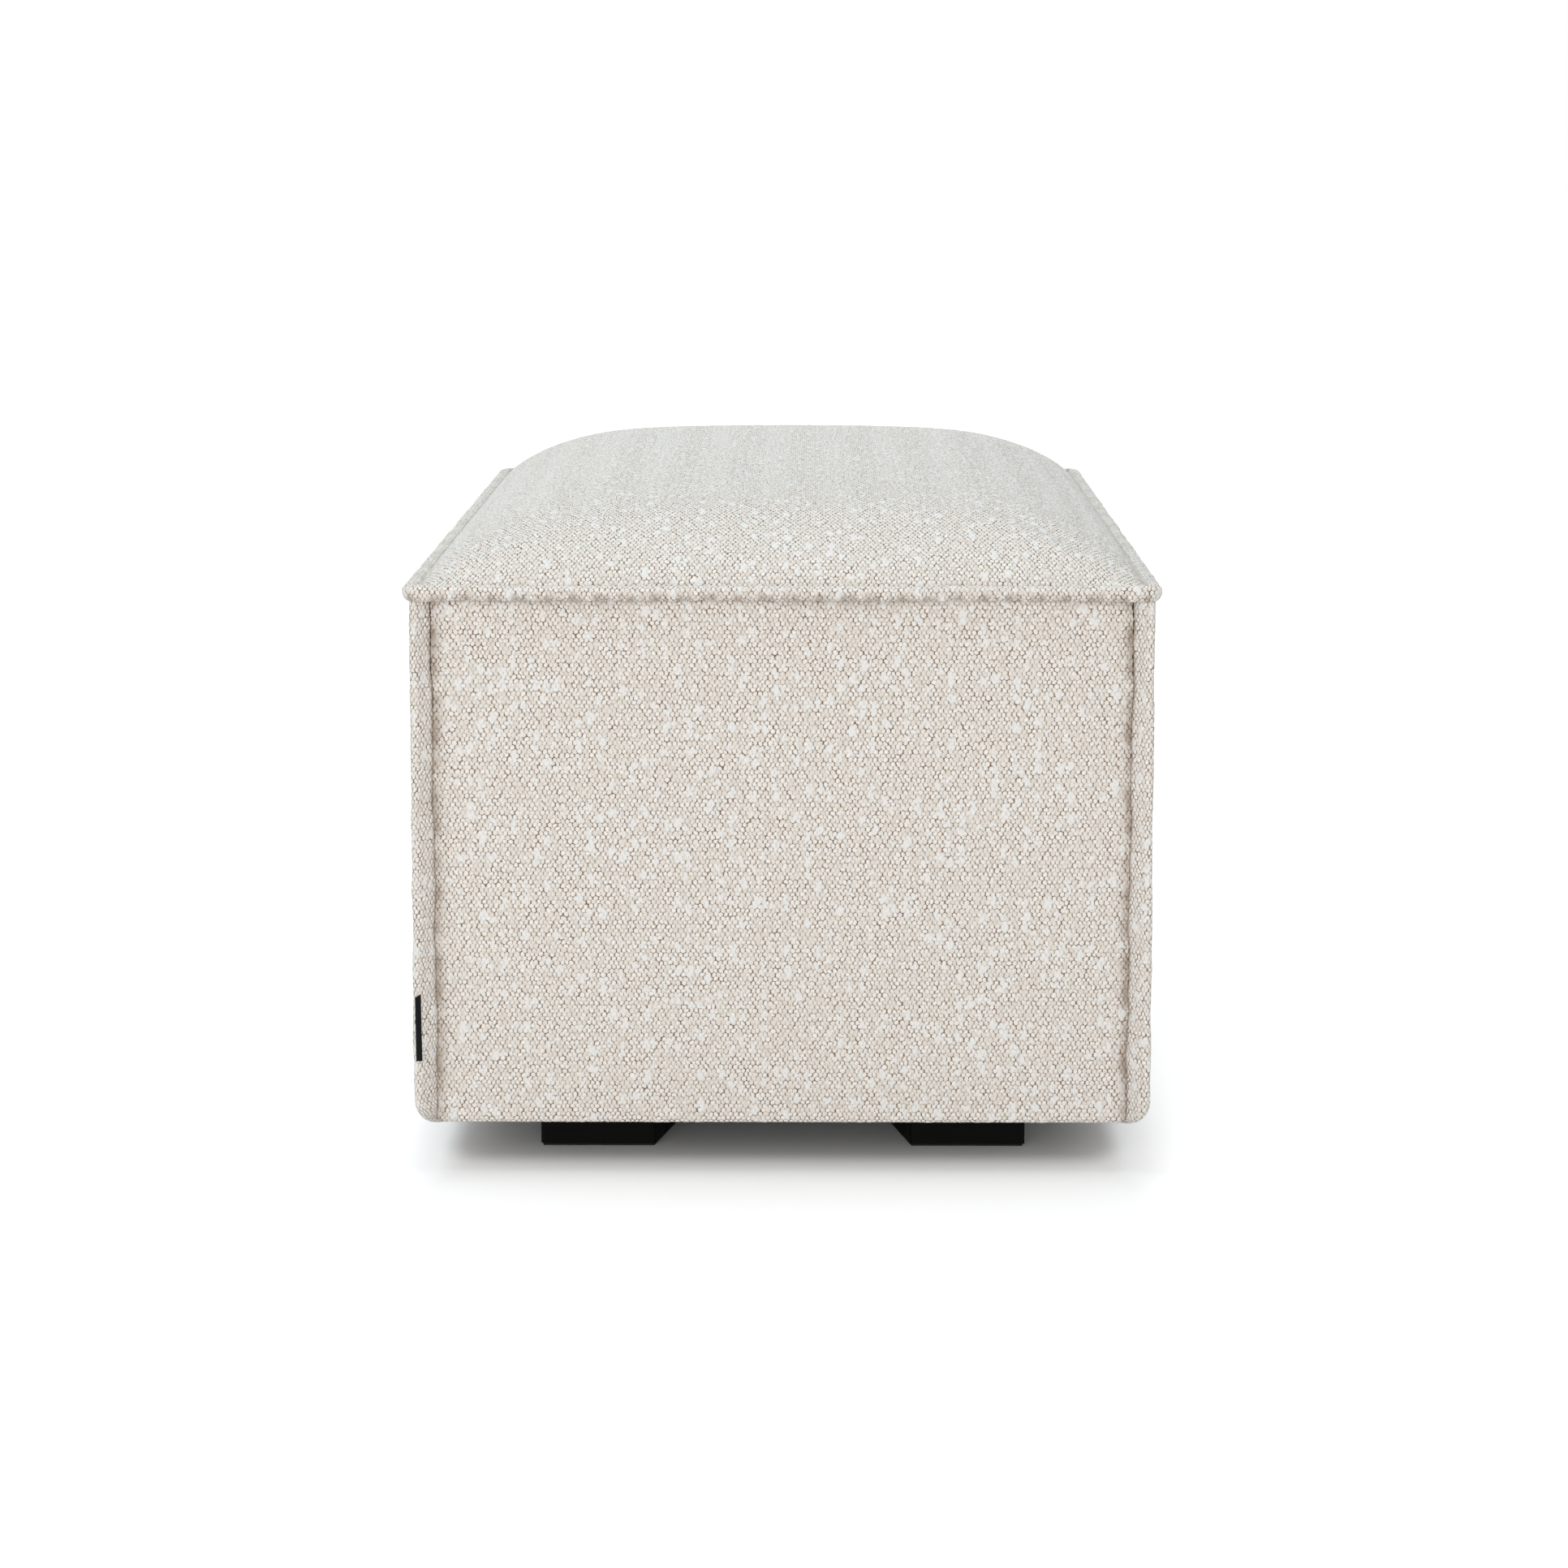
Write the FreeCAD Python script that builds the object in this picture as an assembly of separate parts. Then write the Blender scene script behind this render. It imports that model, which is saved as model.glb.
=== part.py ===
import FreeCAD
import Part
import math
import os

from FreeCAD import Vector

# A long box ottoman: a webbed timber frame skinned with board, padded, and dressed in a sewn
# cover whose seams stand out as lips, called flanges here, on four low block feet.
# Millimetres. +Z is up, +X is right and +Y runs away from the end that faces the viewer.
# The origin is on the floor, under the middle.

# Sewn cover
body_width = 498.0  # X, over the side panels, without the flanges
body_length = 888.0  # Y, over the end panels, without the flanges
under_clearance = 36.5  # floor to the underside of the cover
seam_height = 419.5  # floor to the middle of the top seam
crown_rise = 51.0  # top of the seat above its rim
shoulder_width = 85.0  # how far in from the rim the steep shoulder reaches
shoulder_share = 0.80  # share of the crown's rise that the shoulder takes
shoulder_slices = (0, 0.15, 0.4, 0.7, 1)  # shares of the shoulder where the crown is sliced
end_rise_share = 0.04  # share of the rise left where the crown meets its end walls
rim_height = 4.0  # upright edge of the top panel, beside its flange
rim_overhang = 4.0  # top panel past the side panels
cover_thickness = 3.0
bottom_edge_radius = 4.0
cover_return = 34.0  # cover turned in under the frame

# Flanges, the lips along the seams
top_flange_thickness = 9.0
top_flange_reach = 12.0  # out from the top panel's rim
corner_flange_thickness = 6.5
corner_flange_reach = 14.0  # out from the body's corner, along the diagonal
corner_flange_radius = 14.0  # at the flange's lower end

# Label, a blank tape sewn to the front left corner flange
label_height = 47.0
label_width = 6.5
label_thickness = 0.8
label_past_flange = 0.5
label_above_bottom = 48.0

# Padding and linings
side_padding = 12.0
top_wadding = 18.0
fleece_thickness = 1.5
dust_cover_thickness = 0.8
dust_cover_margin = 20.0  # in from the body's faces
dust_cover_clearance = 2.0  # round a foot

# Timber frame
frame_height = 297.0
board_thickness = 5.0
rail_depth = 40.0
rail_height = 40.0
corner_block_leg = 60.0
corner_block_height = 22.0
foot_board_thickness = 18.0
foot_board_margin = 24.0  # board past the foot, towards the middle

# Elastic webbing
web_width = 70.0
web_thickness = 1.6
web_end_margin = 4.0  # strap end short of the frame's outer face
cross_web_count = 6
long_web_count = 2

# Feet
foot_front_width = 84.0
foot_depth = 80.0
foot_splay = 16.5  # how much wider a foot is at its inner end
foot_side_inset = 72.0  # in from the side panel's face
foot_end_inset = 76.0  # in from the end panel's face
foot_edge_chamfer = 1.5
glide_thickness = 2.0
glide_margin = 1.5

# Screws that hold the feet
screw_diameter = 5.0
screw_head_diameter = 9.5
screw_head_height = 3.0
screw_bite = 14.0  # length of thread in the foot board
screw_recess_depth = 16.0
screw_edge_distance = 22.0
recess_clearance = 0.75  # on the radius, round the head
screw_hole_clearance = 0.3  # on the radius, in the foot
pilot_clearance = 0.05  # on the radius, in the foot board

# Sizes that follow from the values above
half_width = body_width / 2
half_length = body_length / 2
frame_bottom = under_clearance + cover_thickness
rail_top = frame_bottom + frame_height
seam_low = seam_height - top_flange_thickness / 2
rim_level = seam_height + top_flange_thickness / 2
board_outset = cover_thickness + side_padding
frame_outset = board_outset + board_thickness
board_half_width = half_width - board_outset
board_half_length = half_length - board_outset
frame_half_width = half_width - frame_outset
frame_half_length = half_length - frame_outset
rail_inner_x = frame_half_width - rail_depth
rail_inner_y = frame_half_length - rail_depth
top_rail_bottom = rail_top - rail_height
fleece_bottom = rail_top + 2 * web_thickness
foam_bottom = fleece_bottom + fleece_thickness
inner_edge_radius = bottom_edge_radius - cover_thickness
foot_outer_x = half_width - foot_side_inset
foot_inner_x = foot_outer_x - foot_front_width
foot_outer_y = half_length - foot_end_inset
foot_inner_y = foot_outer_y - foot_depth
screw_y = (foot_outer_y + foot_inner_y) / 2
screw_xs = (foot_outer_x - screw_edge_distance, foot_inner_x + screw_edge_distance)
head_seat = glide_thickness + screw_recess_depth

# The turn that takes +X to each side, and each side's half sizes outwards and along
side_angles = {"right": 0, "rear": 90, "left": 180, "front": 270}
side_halves = {
    "right": (half_width, half_length),
    "rear": (half_length, half_width),
    "left": (half_width, half_length),
    "front": (half_length, half_width),
}
corners = {
    "front_left": (-1, -1),
    "front_right": (1, -1),
    "rear_left": (-1, 1),
    "rear_right": (1, 1),
}
parts = {}


# Small helpers


def box(x_range, y_range, z_range):
    lows = [pair[0] for pair in (x_range, y_range, z_range)]
    spans = [pair[1] - pair[0] for pair in (x_range, y_range, z_range)]
    return Part.makeBox(spans[0], spans[1], spans[2], Vector(*lows))


def both_ways(half):
    return (-half, half)


def line(start, end):
    return Part.LineSegment(Vector(*start), Vector(*end)).toShape()


def arc(start, through, end):
    return Part.Arc(Vector(*start), Vector(*through), Vector(*end)).toShape()


def prism(points, direction):
    loop = [Vector(*point) for point in points]
    return Part.Face(Part.makePolygon(loop + loop[:1])).extrude(Vector(*direction))


def disc(x, y, low, high, radius):
    return Part.makeCylinder(radius, high - low, Vector(x, y, low))


def turned(shape, angle):
    copy = shape.copy()
    copy.rotate(Vector(0, 0, 0), Vector(0, 0, 1), angle)
    return copy


def to_corner(shape, sign_x, sign_y):
    """Mirrors a shape made in the +X +Y quarter into another quarter."""
    if sign_x < 0:
        shape = shape.mirror(Vector(0, 0, 0), Vector(1, 0, 0))
    if sign_y < 0:
        shape = shape.mirror(Vector(0, 0, 0), Vector(0, 1, 0))
    return shape


def on_diagonal(length):
    """Share of a length along X, or along Y, when it runs at 45 degrees."""
    return length * math.cos(math.pi / 4)


def evenly(count, span):
    """Centres of equal shares of a span about zero."""
    return [span * ((index + 0.5) / count - 0.5) for index in range(count)]


# Crowned seat


def arc_slopes(half_span, rise):
    """Angles of the shoulder arc at its rim and where it meets the shallow middle arc."""
    end = math.atan2(2 * (1 - shoulder_share) * rise, half_span - shoulder_width)
    chord = math.atan2(shoulder_share * rise, shoulder_width)
    return 2 * chord - end, end


def crown_height(distance, half_span, rise):
    """Height over the rim, at a distance in from it, on the line through the seat's middle."""
    if distance >= shoulder_width:
        share = (half_span - distance) / (half_span - shoulder_width)
        return rise - (1 - shoulder_share) * rise * share**2
    start, end = arc_slopes(half_span, rise)
    radius = shoulder_width / (math.sin(start) - math.sin(end))
    across = radius * math.sin(start) - distance
    return math.sqrt(radius**2 - across**2) - radius * math.cos(start)


def crown_section(y, half_span, base, wall_top, rise):
    """A slice across the seat: upright walls, two shoulder arcs and a shallow middle arc."""
    shoulder_x = half_span - shoulder_width
    shoulder_z = wall_top + shoulder_share * rise
    middle = shoulder_width / 3
    middle_x = half_span - middle
    middle_z = wall_top + crown_height(middle, half_span, rise)
    return Part.Wire(
        [
            line((-half_span, y, base), (half_span, y, base)),
            line((half_span, y, base), (half_span, y, wall_top)),
            arc((half_span, y, wall_top), (middle_x, y, middle_z), (shoulder_x, y, shoulder_z)),
            arc((shoulder_x, y, shoulder_z), (0, y, wall_top + rise), (-shoulder_x, y, shoulder_z)),
            arc((-shoulder_x, y, shoulder_z), (-middle_x, y, middle_z), (-half_span, y, wall_top)),
            line((-half_span, y, wall_top), (-half_span, y, base)),
        ]
    )


def crown_solid(inset, base, wall_top, rise, ruled=True):
    """The seat's crowned form, set in from the top panel's rim, down to a flat base."""
    half_x = half_width + rim_overhang - inset
    half_y = half_length + rim_overhang - inset
    least_rise = end_rise_share * rise
    distances = [share * shoulder_width for share in shoulder_slices]
    distances.append((shoulder_width + half_y) / 2)
    slices = [(half_y - d, max(least_rise, crown_height(d, half_y, rise))) for d in distances]
    slices = [(-y, height) for y, height in slices] + [(0, rise)] + slices[::-1]
    sections = [crown_section(y, half_x, base, wall_top, height) for y, height in slices]
    return Part.makeLoft(sections, True, ruled)


def make_seat():
    """Top panel, wadding and foam, nested under the same crown."""
    wall_top = rim_level + rim_height
    lining_top = wall_top - cover_thickness
    below_rim = rim_level - rim_height
    foam_inset = rim_overhang + board_outset
    foam_rise = crown_rise + lining_top - rim_level - top_wadding
    outer = crown_solid(0, rim_level, wall_top, crown_rise, ruled=False)
    hollow = crown_solid(cover_thickness, below_rim, lining_top, crown_rise)
    wadding = crown_solid(cover_thickness, rim_level, lining_top, crown_rise)
    foam = crown_solid(foam_inset, foam_bottom, rim_level, foam_rise)
    parts["top_cover"] = outer.cut(hollow)
    parts["top_wadding"] = wadding.cut(foam)
    parts["seat_foam"] = foam


# Cover sides and flanges


def mitre_wedge(outward, along, gap):
    """Plan wedge on the +X side, between the corner diagonals, each held off by half a gap."""
    setback = on_diagonal(gap)
    inward = 2 * cover_return
    past = rim_overhang + top_flange_reach + top_flange_thickness
    near_x, near_y = outward - inward, along - inward - setback
    far_x, far_y = outward + past, along + past - setback
    wedge = [(near_x, -near_y, 0), (far_x, -far_y, 0), (far_x, far_y, 0), (near_x, near_y, 0)]
    return prism(wedge, (0, 0, rim_level + crown_rise))


def run_along(edges, half_run):
    """A profile drawn in the XZ plane, run both ways along Y."""
    face = Part.Face(Part.Wire(edges))
    face.translate(Vector(0, -half_run, 0))
    return face.extrude(Vector(0, 2 * half_run, 0))


def cover_panel(outward, along):
    """One side of the cover, rounded and turned in under the frame, mitred for corner flanges."""
    inner = outward - cover_thickness
    turned_in = outward - cover_return
    bend_x = outward - bottom_edge_radius
    bend_z = under_clearance + bottom_edge_radius
    outer_mid = on_diagonal(bottom_edge_radius)
    inner_mid = on_diagonal(inner_edge_radius)
    edges = [
        line((outward, 0, seam_low), (outward, 0, bend_z)),
        arc(
            (outward, 0, bend_z),
            (bend_x + outer_mid, 0, bend_z - outer_mid),
            (bend_x, 0, under_clearance),
        ),
        line((bend_x, 0, under_clearance), (turned_in, 0, under_clearance)),
        line((turned_in, 0, under_clearance), (turned_in, 0, frame_bottom)),
        line((turned_in, 0, frame_bottom), (bend_x, 0, frame_bottom)),
        arc(
            (bend_x, 0, frame_bottom),
            (bend_x + inner_mid, 0, bend_z - inner_mid),
            (inner, 0, bend_z),
        ),
        line((inner, 0, bend_z), (inner, 0, seam_low)),
        line((inner, 0, seam_low), (outward, 0, seam_low)),
    ]
    return run_along(edges, along).common(mitre_wedge(outward, along, corner_flange_thickness))


def top_flange(outward, along):
    """A level lip in the top seam, from between the panels out to a round nose."""
    half = top_flange_thickness / 2
    middle = on_diagonal(half)
    root_x = outward - cover_thickness
    nose_x = outward + rim_overhang + top_flange_reach - half
    tip = (nose_x + half, 0, seam_height)
    edges = [
        line((root_x, 0, seam_low), (nose_x, 0, seam_low)),
        arc((nose_x, 0, seam_low), (nose_x + middle, 0, seam_height - middle), tip),
        arc(tip, (nose_x + middle, 0, seam_height + middle), (nose_x, 0, rim_level)),
        line((nose_x, 0, rim_level), (root_x, 0, rim_level)),
        line((root_x, 0, rim_level), (root_x, 0, seam_low)),
    ]
    half_run = along + rim_overhang + top_flange_reach
    return run_along(edges, half_run).common(mitre_wedge(outward, along, 0))


def stuffing_side(half_size):
    """Half of the padded body's outline, with the lower corners rounded like the cover."""
    edge = half_size - cover_thickness
    bend = edge - inner_edge_radius
    bend_z = frame_bottom + inner_edge_radius
    middle = on_diagonal(inner_edge_radius)
    return [
        line((-edge, 0, rim_level), (-edge, 0, bend_z)),
        arc((-edge, 0, bend_z), (-bend - middle, 0, bend_z - middle), (-bend, 0, frame_bottom)),
        line((-bend, 0, frame_bottom), (bend, 0, frame_bottom)),
        arc((bend, 0, frame_bottom), (bend + middle, 0, bend_z - middle), (edge, 0, bend_z)),
        line((edge, 0, bend_z), (edge, 0, rim_level)),
        line((edge, 0, rim_level), (-edge, 0, rim_level)),
    ]


def stuffing_block():
    """Everything inside the cover's side panels, as one block."""
    across = run_along(stuffing_side(half_width), half_length)
    lengthways = turned(run_along(stuffing_side(half_length), half_width), 90)
    return across.common(lengthways)


def corner_flange(stuffing):
    """The lip in an upright corner seam, with its tail in the mitre under the frame."""
    half = corner_flange_thickness / 2
    nose = corner_flange_reach - half
    nose_mid = on_diagonal(half)
    tail = -2 * on_diagonal(cover_return)
    bend_x = corner_flange_reach - corner_flange_radius
    bend_z = under_clearance + corner_flange_radius
    middle = on_diagonal(corner_flange_radius)
    side_view = [
        line((tail, 0, under_clearance), (bend_x, 0, under_clearance)),
        arc(
            (bend_x, 0, under_clearance),
            (bend_x + middle, 0, bend_z - middle),
            (corner_flange_reach, 0, bend_z),
        ),
        line((corner_flange_reach, 0, bend_z), (corner_flange_reach, 0, seam_low)),
        line((corner_flange_reach, 0, seam_low), (tail, 0, seam_low)),
        line((tail, 0, seam_low), (tail, 0, under_clearance)),
    ]
    plan_view = [
        line((tail, -half, 0), (nose, -half, 0)),
        arc((nose, -half, 0), (nose + nose_mid, -nose_mid, 0), (corner_flange_reach, 0, 0)),
        arc((corner_flange_reach, 0, 0), (nose + nose_mid, nose_mid, 0), (nose, half, 0)),
        line((nose, half, 0), (tail, half, 0)),
        line((tail, half, 0), (tail, -half, 0)),
    ]
    column = Part.Face(Part.Wire(plan_view)).extrude(Vector(0, 0, seam_height))
    lip = turned(run_along(side_view, corner_flange_thickness).common(column), 45)
    lip.translate(Vector(half_width, half_length, 0))
    return lip.cut(stuffing)


def make_cover():
    stuffing = stuffing_block()
    lip = corner_flange(stuffing)
    for side, angle in side_angles.items():
        outward, along = side_halves[side]
        parts["cover_" + side] = turned(cover_panel(outward, along), angle)
        parts["top_flange_" + side] = turned(top_flange(outward, along), angle)
    for corner, (sign_x, sign_y) in corners.items():
        parts["corner_flange_" + corner] = to_corner(lip, sign_x, sign_y)
    padding_height = (frame_bottom, rim_level)
    for side in ("right", "left"):
        edge = (board_half_width, half_width - cover_thickness)
        slab = box(edge, both_ways(half_length), padding_height).common(stuffing)
        parts["side_padding_" + side] = turned(slab, side_angles[side])
    for side in ("rear", "front"):
        edge = (board_half_length, half_length - cover_thickness)
        slab = box(both_ways(board_half_width), edge, padding_height).common(stuffing)
        parts["side_padding_" + side] = turned(slab, side_angles[side] - side_angles["rear"])


def make_label():
    """A blank tape on the face of the front left corner flange that looks to the front."""
    half = corner_flange_thickness / 2
    end = corner_flange_reach + label_past_flange
    low = under_clearance + label_above_bottom
    tape = box((end - label_width, end), (half, half + label_thickness), (low, low + label_height))
    tape = turned(tape, 45)
    tape.translate(Vector(half_width, half_length, 0))
    parts["label_tab"] = to_corner(tape, -1, -1)


# Timber frame


def make_frame():
    levels = {
        "bottom": (frame_bottom, frame_bottom + rail_height),
        "top": (top_rail_bottom, rail_top),
    }
    rail_x = (rail_inner_x, frame_half_width)
    rail_y = (rail_inner_y, frame_half_length)
    inner_run = both_ways(rail_inner_x)
    for level, heights in levels.items():
        long_rail = box(rail_x, both_ways(frame_half_length), heights)
        short_rail = box(inner_run, rail_y, heights)
        parts[level + "_rail_right"] = long_rail
        parts[level + "_rail_left"] = to_corner(long_rail, -1, 1)
        parts[level + "_rail_rear"] = short_rail
        parts[level + "_rail_front"] = to_corner(short_rail, 1, -1)
    post = box(rail_x, rail_y, (frame_bottom + rail_height, top_rail_bottom))
    for corner, (sign_x, sign_y) in corners.items():
        parts["corner_post_" + corner] = to_corner(post, sign_x, sign_y)
    middle = both_ways(rail_depth / 2)
    parts["bottom_stretcher"] = box(inner_run, middle, levels["bottom"])
    block_low = (rail_inner_x, rail_inner_y, top_rail_bottom)
    block_leg_x = (rail_inner_x - corner_block_leg, rail_inner_y, top_rail_bottom)
    block_leg_y = (rail_inner_x, rail_inner_y - corner_block_leg, top_rail_bottom)
    block = prism([block_low, block_leg_x, block_leg_y], (0, 0, corner_block_height))
    blocks = [to_corner(block, sign_x, sign_y) for sign_x, sign_y in corners.values()]
    parts["corner_blocks"] = Part.makeCompound(blocks)


def make_boards():
    heights = (frame_bottom, rail_top)
    long_board = box((frame_half_width, board_half_width), both_ways(board_half_length), heights)
    short_board = box(both_ways(frame_half_width), (frame_half_length, board_half_length), heights)
    parts["side_board_right"] = long_board
    parts["side_board_left"] = to_corner(long_board, -1, 1)
    parts["side_board_rear"] = short_board
    parts["side_board_front"] = to_corner(short_board, 1, -1)
    foot_board = box(
        both_ways(rail_inner_x),
        (foot_inner_y - foot_board_margin, rail_inner_y),
        (frame_bottom, frame_bottom + foot_board_thickness),
    )
    radius = screw_diameter / 2 + pilot_clearance
    for x in screw_xs:
        for sign in (-1, 1):
            pilot = disc(sign * x, screw_y, frame_bottom, frame_bottom + screw_bite, radius)
            foot_board = foot_board.cut(pilot)
    parts["foot_board_rear"] = foot_board
    parts["foot_board_front"] = to_corner(foot_board, 1, -1)


# Webbing and linings


def cross_strap_places():
    return evenly(cross_web_count, 2 * rail_inner_y)


def long_strap_places():
    return evenly(long_web_count, 2 * rail_inner_x)


def long_strap(x, over_first):
    """A strap along Y that goes over one cross strap and under the next."""
    end = frame_half_length - web_end_margin
    lower = [(-end, rail_top), (-rail_inner_y, rail_top)]
    goes_over = over_first
    for y in cross_strap_places():
        level = rail_top + (web_thickness if goes_over else -web_thickness)
        lower += [(y - web_width / 2, level), (y + web_width / 2, level)]
        goes_over = not goes_over
    lower += [(rail_inner_y, rail_top), (end, rail_top)]
    upper = [(y, z + web_thickness) for y, z in lower]
    start_x = x - web_width / 2
    outline = [(start_x, y, z) for y, z in lower + upper[::-1]]
    return prism(outline, (web_width, 0, 0))


def make_webbing():
    end = frame_half_width - web_end_margin
    level = (rail_top, rail_top + web_thickness)
    for number, y in enumerate(cross_strap_places(), 1):
        edges = (y - web_width / 2, y + web_width / 2)
        parts["cross_webbing_%d" % number] = box(both_ways(end), edges, level)
    for number, x in enumerate(long_strap_places(), 1):
        parts["long_webbing_%d" % number] = long_strap(x, number % 2 == 1)
    fleece_level = (fleece_bottom, foam_bottom)
    fleece = box(both_ways(board_half_width), both_ways(board_half_length), fleece_level)
    parts["fleece_sheet"] = fleece


def foot_outline():
    """Plan of the foot in the +X +Y quarter: its inner flank opens towards the middle."""
    return [
        (foot_outer_x, foot_outer_y, 0),
        (foot_inner_x, foot_outer_y, 0),
        (foot_inner_x - foot_splay, foot_inner_y, 0),
        (foot_outer_x, foot_inner_y, 0),
    ]


def foot_prism(low, high, grow=0):
    """The foot's plan, grown or shrunk all round, between two heights."""
    loop = [Vector(*point) for point in foot_outline()]
    face = Part.Face(Part.makePolygon(loop + loop[:1]))
    if grow:
        face = face.makeOffset2D(grow, 2)
    face.translate(Vector(0, 0, low))
    return face.extrude(Vector(0, 0, high - low))


def make_dust_cover():
    level = (under_clearance - dust_cover_thickness, under_clearance)
    half_x = half_width - dust_cover_margin
    half_y = half_length - dust_cover_margin
    sheet = box(both_ways(half_x), both_ways(half_y), level)
    opening = foot_prism(0, foot_board_thickness + frame_bottom, dust_cover_clearance)
    for sign_x, sign_y in corners.values():
        sheet = sheet.cut(to_corner(opening, sign_x, sign_y))
    parts["dust_cover"] = sheet


# Feet


def make_feet():
    foot = foot_prism(glide_thickness, frame_bottom)
    uprights = [edge for edge in foot.Edges if edge.BoundBox.ZLength > edge.Length / 2]
    foot = foot.makeChamfer(foot_edge_chamfer, uprights)
    screws = []
    for x in screw_xs:
        recess_radius = screw_head_diameter / 2 + recess_clearance
        hole_radius = screw_diameter / 2 + screw_hole_clearance
        foot = foot.cut(disc(x, screw_y, glide_thickness, head_seat, recess_radius))
        foot = foot.cut(disc(x, screw_y, head_seat, frame_bottom, hole_radius))
        head = disc(x, screw_y, head_seat - screw_head_height, head_seat, screw_head_diameter / 2)
        shank = disc(x, screw_y, head_seat, frame_bottom + screw_bite, screw_diameter / 2)
        screws.append(head.fuse(shank))
    glide = foot_prism(0, glide_thickness, -glide_margin)
    all_screws = []
    for corner, (sign_x, sign_y) in corners.items():
        parts["foot_" + corner] = to_corner(foot, sign_x, sign_y)
        parts["foot_glide_" + corner] = to_corner(glide, sign_x, sign_y)
        all_screws += [to_corner(screw, sign_x, sign_y) for screw in screws]
    parts["foot_screws"] = Part.makeCompound(all_screws)


make_seat()
make_cover()
make_label()
make_frame()
make_boards()
make_webbing()
make_dust_cover()
make_feet()

os.makedirs("parts", exist_ok=True)
for part_name, part_shape in parts.items():
    part_shape.exportStep("parts/" + part_name + ".step")
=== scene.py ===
import math

import bmesh
import bpy
import numpy as np
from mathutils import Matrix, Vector, geometry


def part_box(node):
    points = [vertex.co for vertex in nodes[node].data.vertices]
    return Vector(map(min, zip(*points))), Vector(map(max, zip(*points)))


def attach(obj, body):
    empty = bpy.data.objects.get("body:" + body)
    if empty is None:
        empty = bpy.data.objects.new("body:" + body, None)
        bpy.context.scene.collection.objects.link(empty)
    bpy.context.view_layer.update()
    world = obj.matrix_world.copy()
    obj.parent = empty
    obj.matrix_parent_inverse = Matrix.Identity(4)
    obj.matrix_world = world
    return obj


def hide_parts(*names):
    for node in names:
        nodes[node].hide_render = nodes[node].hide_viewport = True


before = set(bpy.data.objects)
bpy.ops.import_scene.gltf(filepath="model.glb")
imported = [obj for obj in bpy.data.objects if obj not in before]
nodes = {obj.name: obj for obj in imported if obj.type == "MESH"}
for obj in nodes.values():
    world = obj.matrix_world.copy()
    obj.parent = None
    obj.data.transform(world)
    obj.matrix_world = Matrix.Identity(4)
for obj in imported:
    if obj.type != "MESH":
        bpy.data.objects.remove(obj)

scene = bpy.context.scene
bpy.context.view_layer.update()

# the upholstered block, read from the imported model
body = {
    "halfX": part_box("cover_right")[1].x,
    "halfY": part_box("cover_rear")[1].y,
    "hem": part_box("cover_front")[0].z,
    "panelTop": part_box("cover_front")[1].z,
    "crownTop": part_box("top_cover")[1].z,
    "returnEdge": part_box("cover_right")[0].x,
    "lipTip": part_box("top_flange_right")[1].x,
    "cornerTip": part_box("corner_flange_front_right")[1].x,
}
print("frame loaded:", len(nodes), "nodes")


class Wire:
    # one output of a node tree, with the sums that the finishes use
    def __init__(self, board, socket):
        self.board = board
        self.socket = socket

    def sums(operation):
        # an operator and its reflected form
        def plain(self, other):
            return self.board.maths(operation, self, other)

        def reflected(self, other):
            return self.board.maths(operation, other, self)

        return plain, reflected

    __add__, __radd__ = sums("ADD")
    __sub__, __rsub__ = sums("SUBTRACT")
    __mul__, __rmul__ = sums("MULTIPLY")
    __truediv__, __rtruediv__ = sums("DIVIDE")
    __pow__, __rpow__ = sums("POWER")


class Board:
    # a node tree, and the one way to put nodes on it
    def __init__(self, tree):
        self.tree = tree
        tree.nodes.clear()

    def add(self, kind, sockets=None, out=0, **settings):
        node = self.tree.nodes.new(kind)
        for key, value in settings.items():
            setattr(node, key, value)
        for key, value in (sockets or {}).items():
            if isinstance(value, Wire):
                self.tree.links.new(value.socket, node.inputs[key])
            else:
                node.inputs[key].default_value = value
        return Wire(self, node.outputs[out]) if len(node.outputs) else None

    def maths(self, operation, *values):
        return self.add("ShaderNodeMath", dict(enumerate(values)), operation=operation)

    def vector(self, operation, *values, out=0):
        sockets = dict(enumerate(values))
        return self.add("ShaderNodeVectorMath", sockets, out, operation=operation)

    def scaled(self, vector, factor):
        return self.add("ShaderNodeVectorMath", {0: vector, 3: factor}, operation="SCALE")

    def axis(self, vector, which=0):
        return self.add("ShaderNodeSeparateXYZ", {0: vector}, which)

    def larger(self, first, second):
        return self.maths("MAXIMUM", first, second)

    def step(self, value, low, high):
        sockets = {0: value, 1: low, 2: high, 3: 0.0, 4: 1.0}
        return self.add("ShaderNodeMapRange", sockets, interpolation_type="SMOOTHSTEP")

    def colour(self, share, first, second):
        sockets = {0: share, 6: first, 7: second}
        return self.add("ShaderNodeMix", sockets, 2, data_type="RGBA", clamp_factor=True)

    def place(self):
        return self.add("ShaderNodeTexCoord", out=3)

    def noise(self, vector, scale, detail=2.0, space="3D", out=0):
        sockets = {"Vector": vector, "Scale": scale, "Detail": detail}
        return self.add("ShaderNodeTexNoise", sockets, out, noise_dimensions=space)

    def grain(self, vector, stretch, detail):
        return self.noise(self.vector("MULTIPLY", vector, stretch), 1.0, detail)

    def cells(self, vector, scale, loose=1.0, space="3D"):
        sockets = {"Vector": vector, "Scale": scale, "Randomness": loose}
        return self.add("ShaderNodeTexVoronoi", sockets, voronoi_dimensions=space)


def rgb(red, green, blue):
    return (red, green, blue, 1.0)


black, white = rgb(0, 0, 0), rgb(1, 1, 1)


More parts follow.
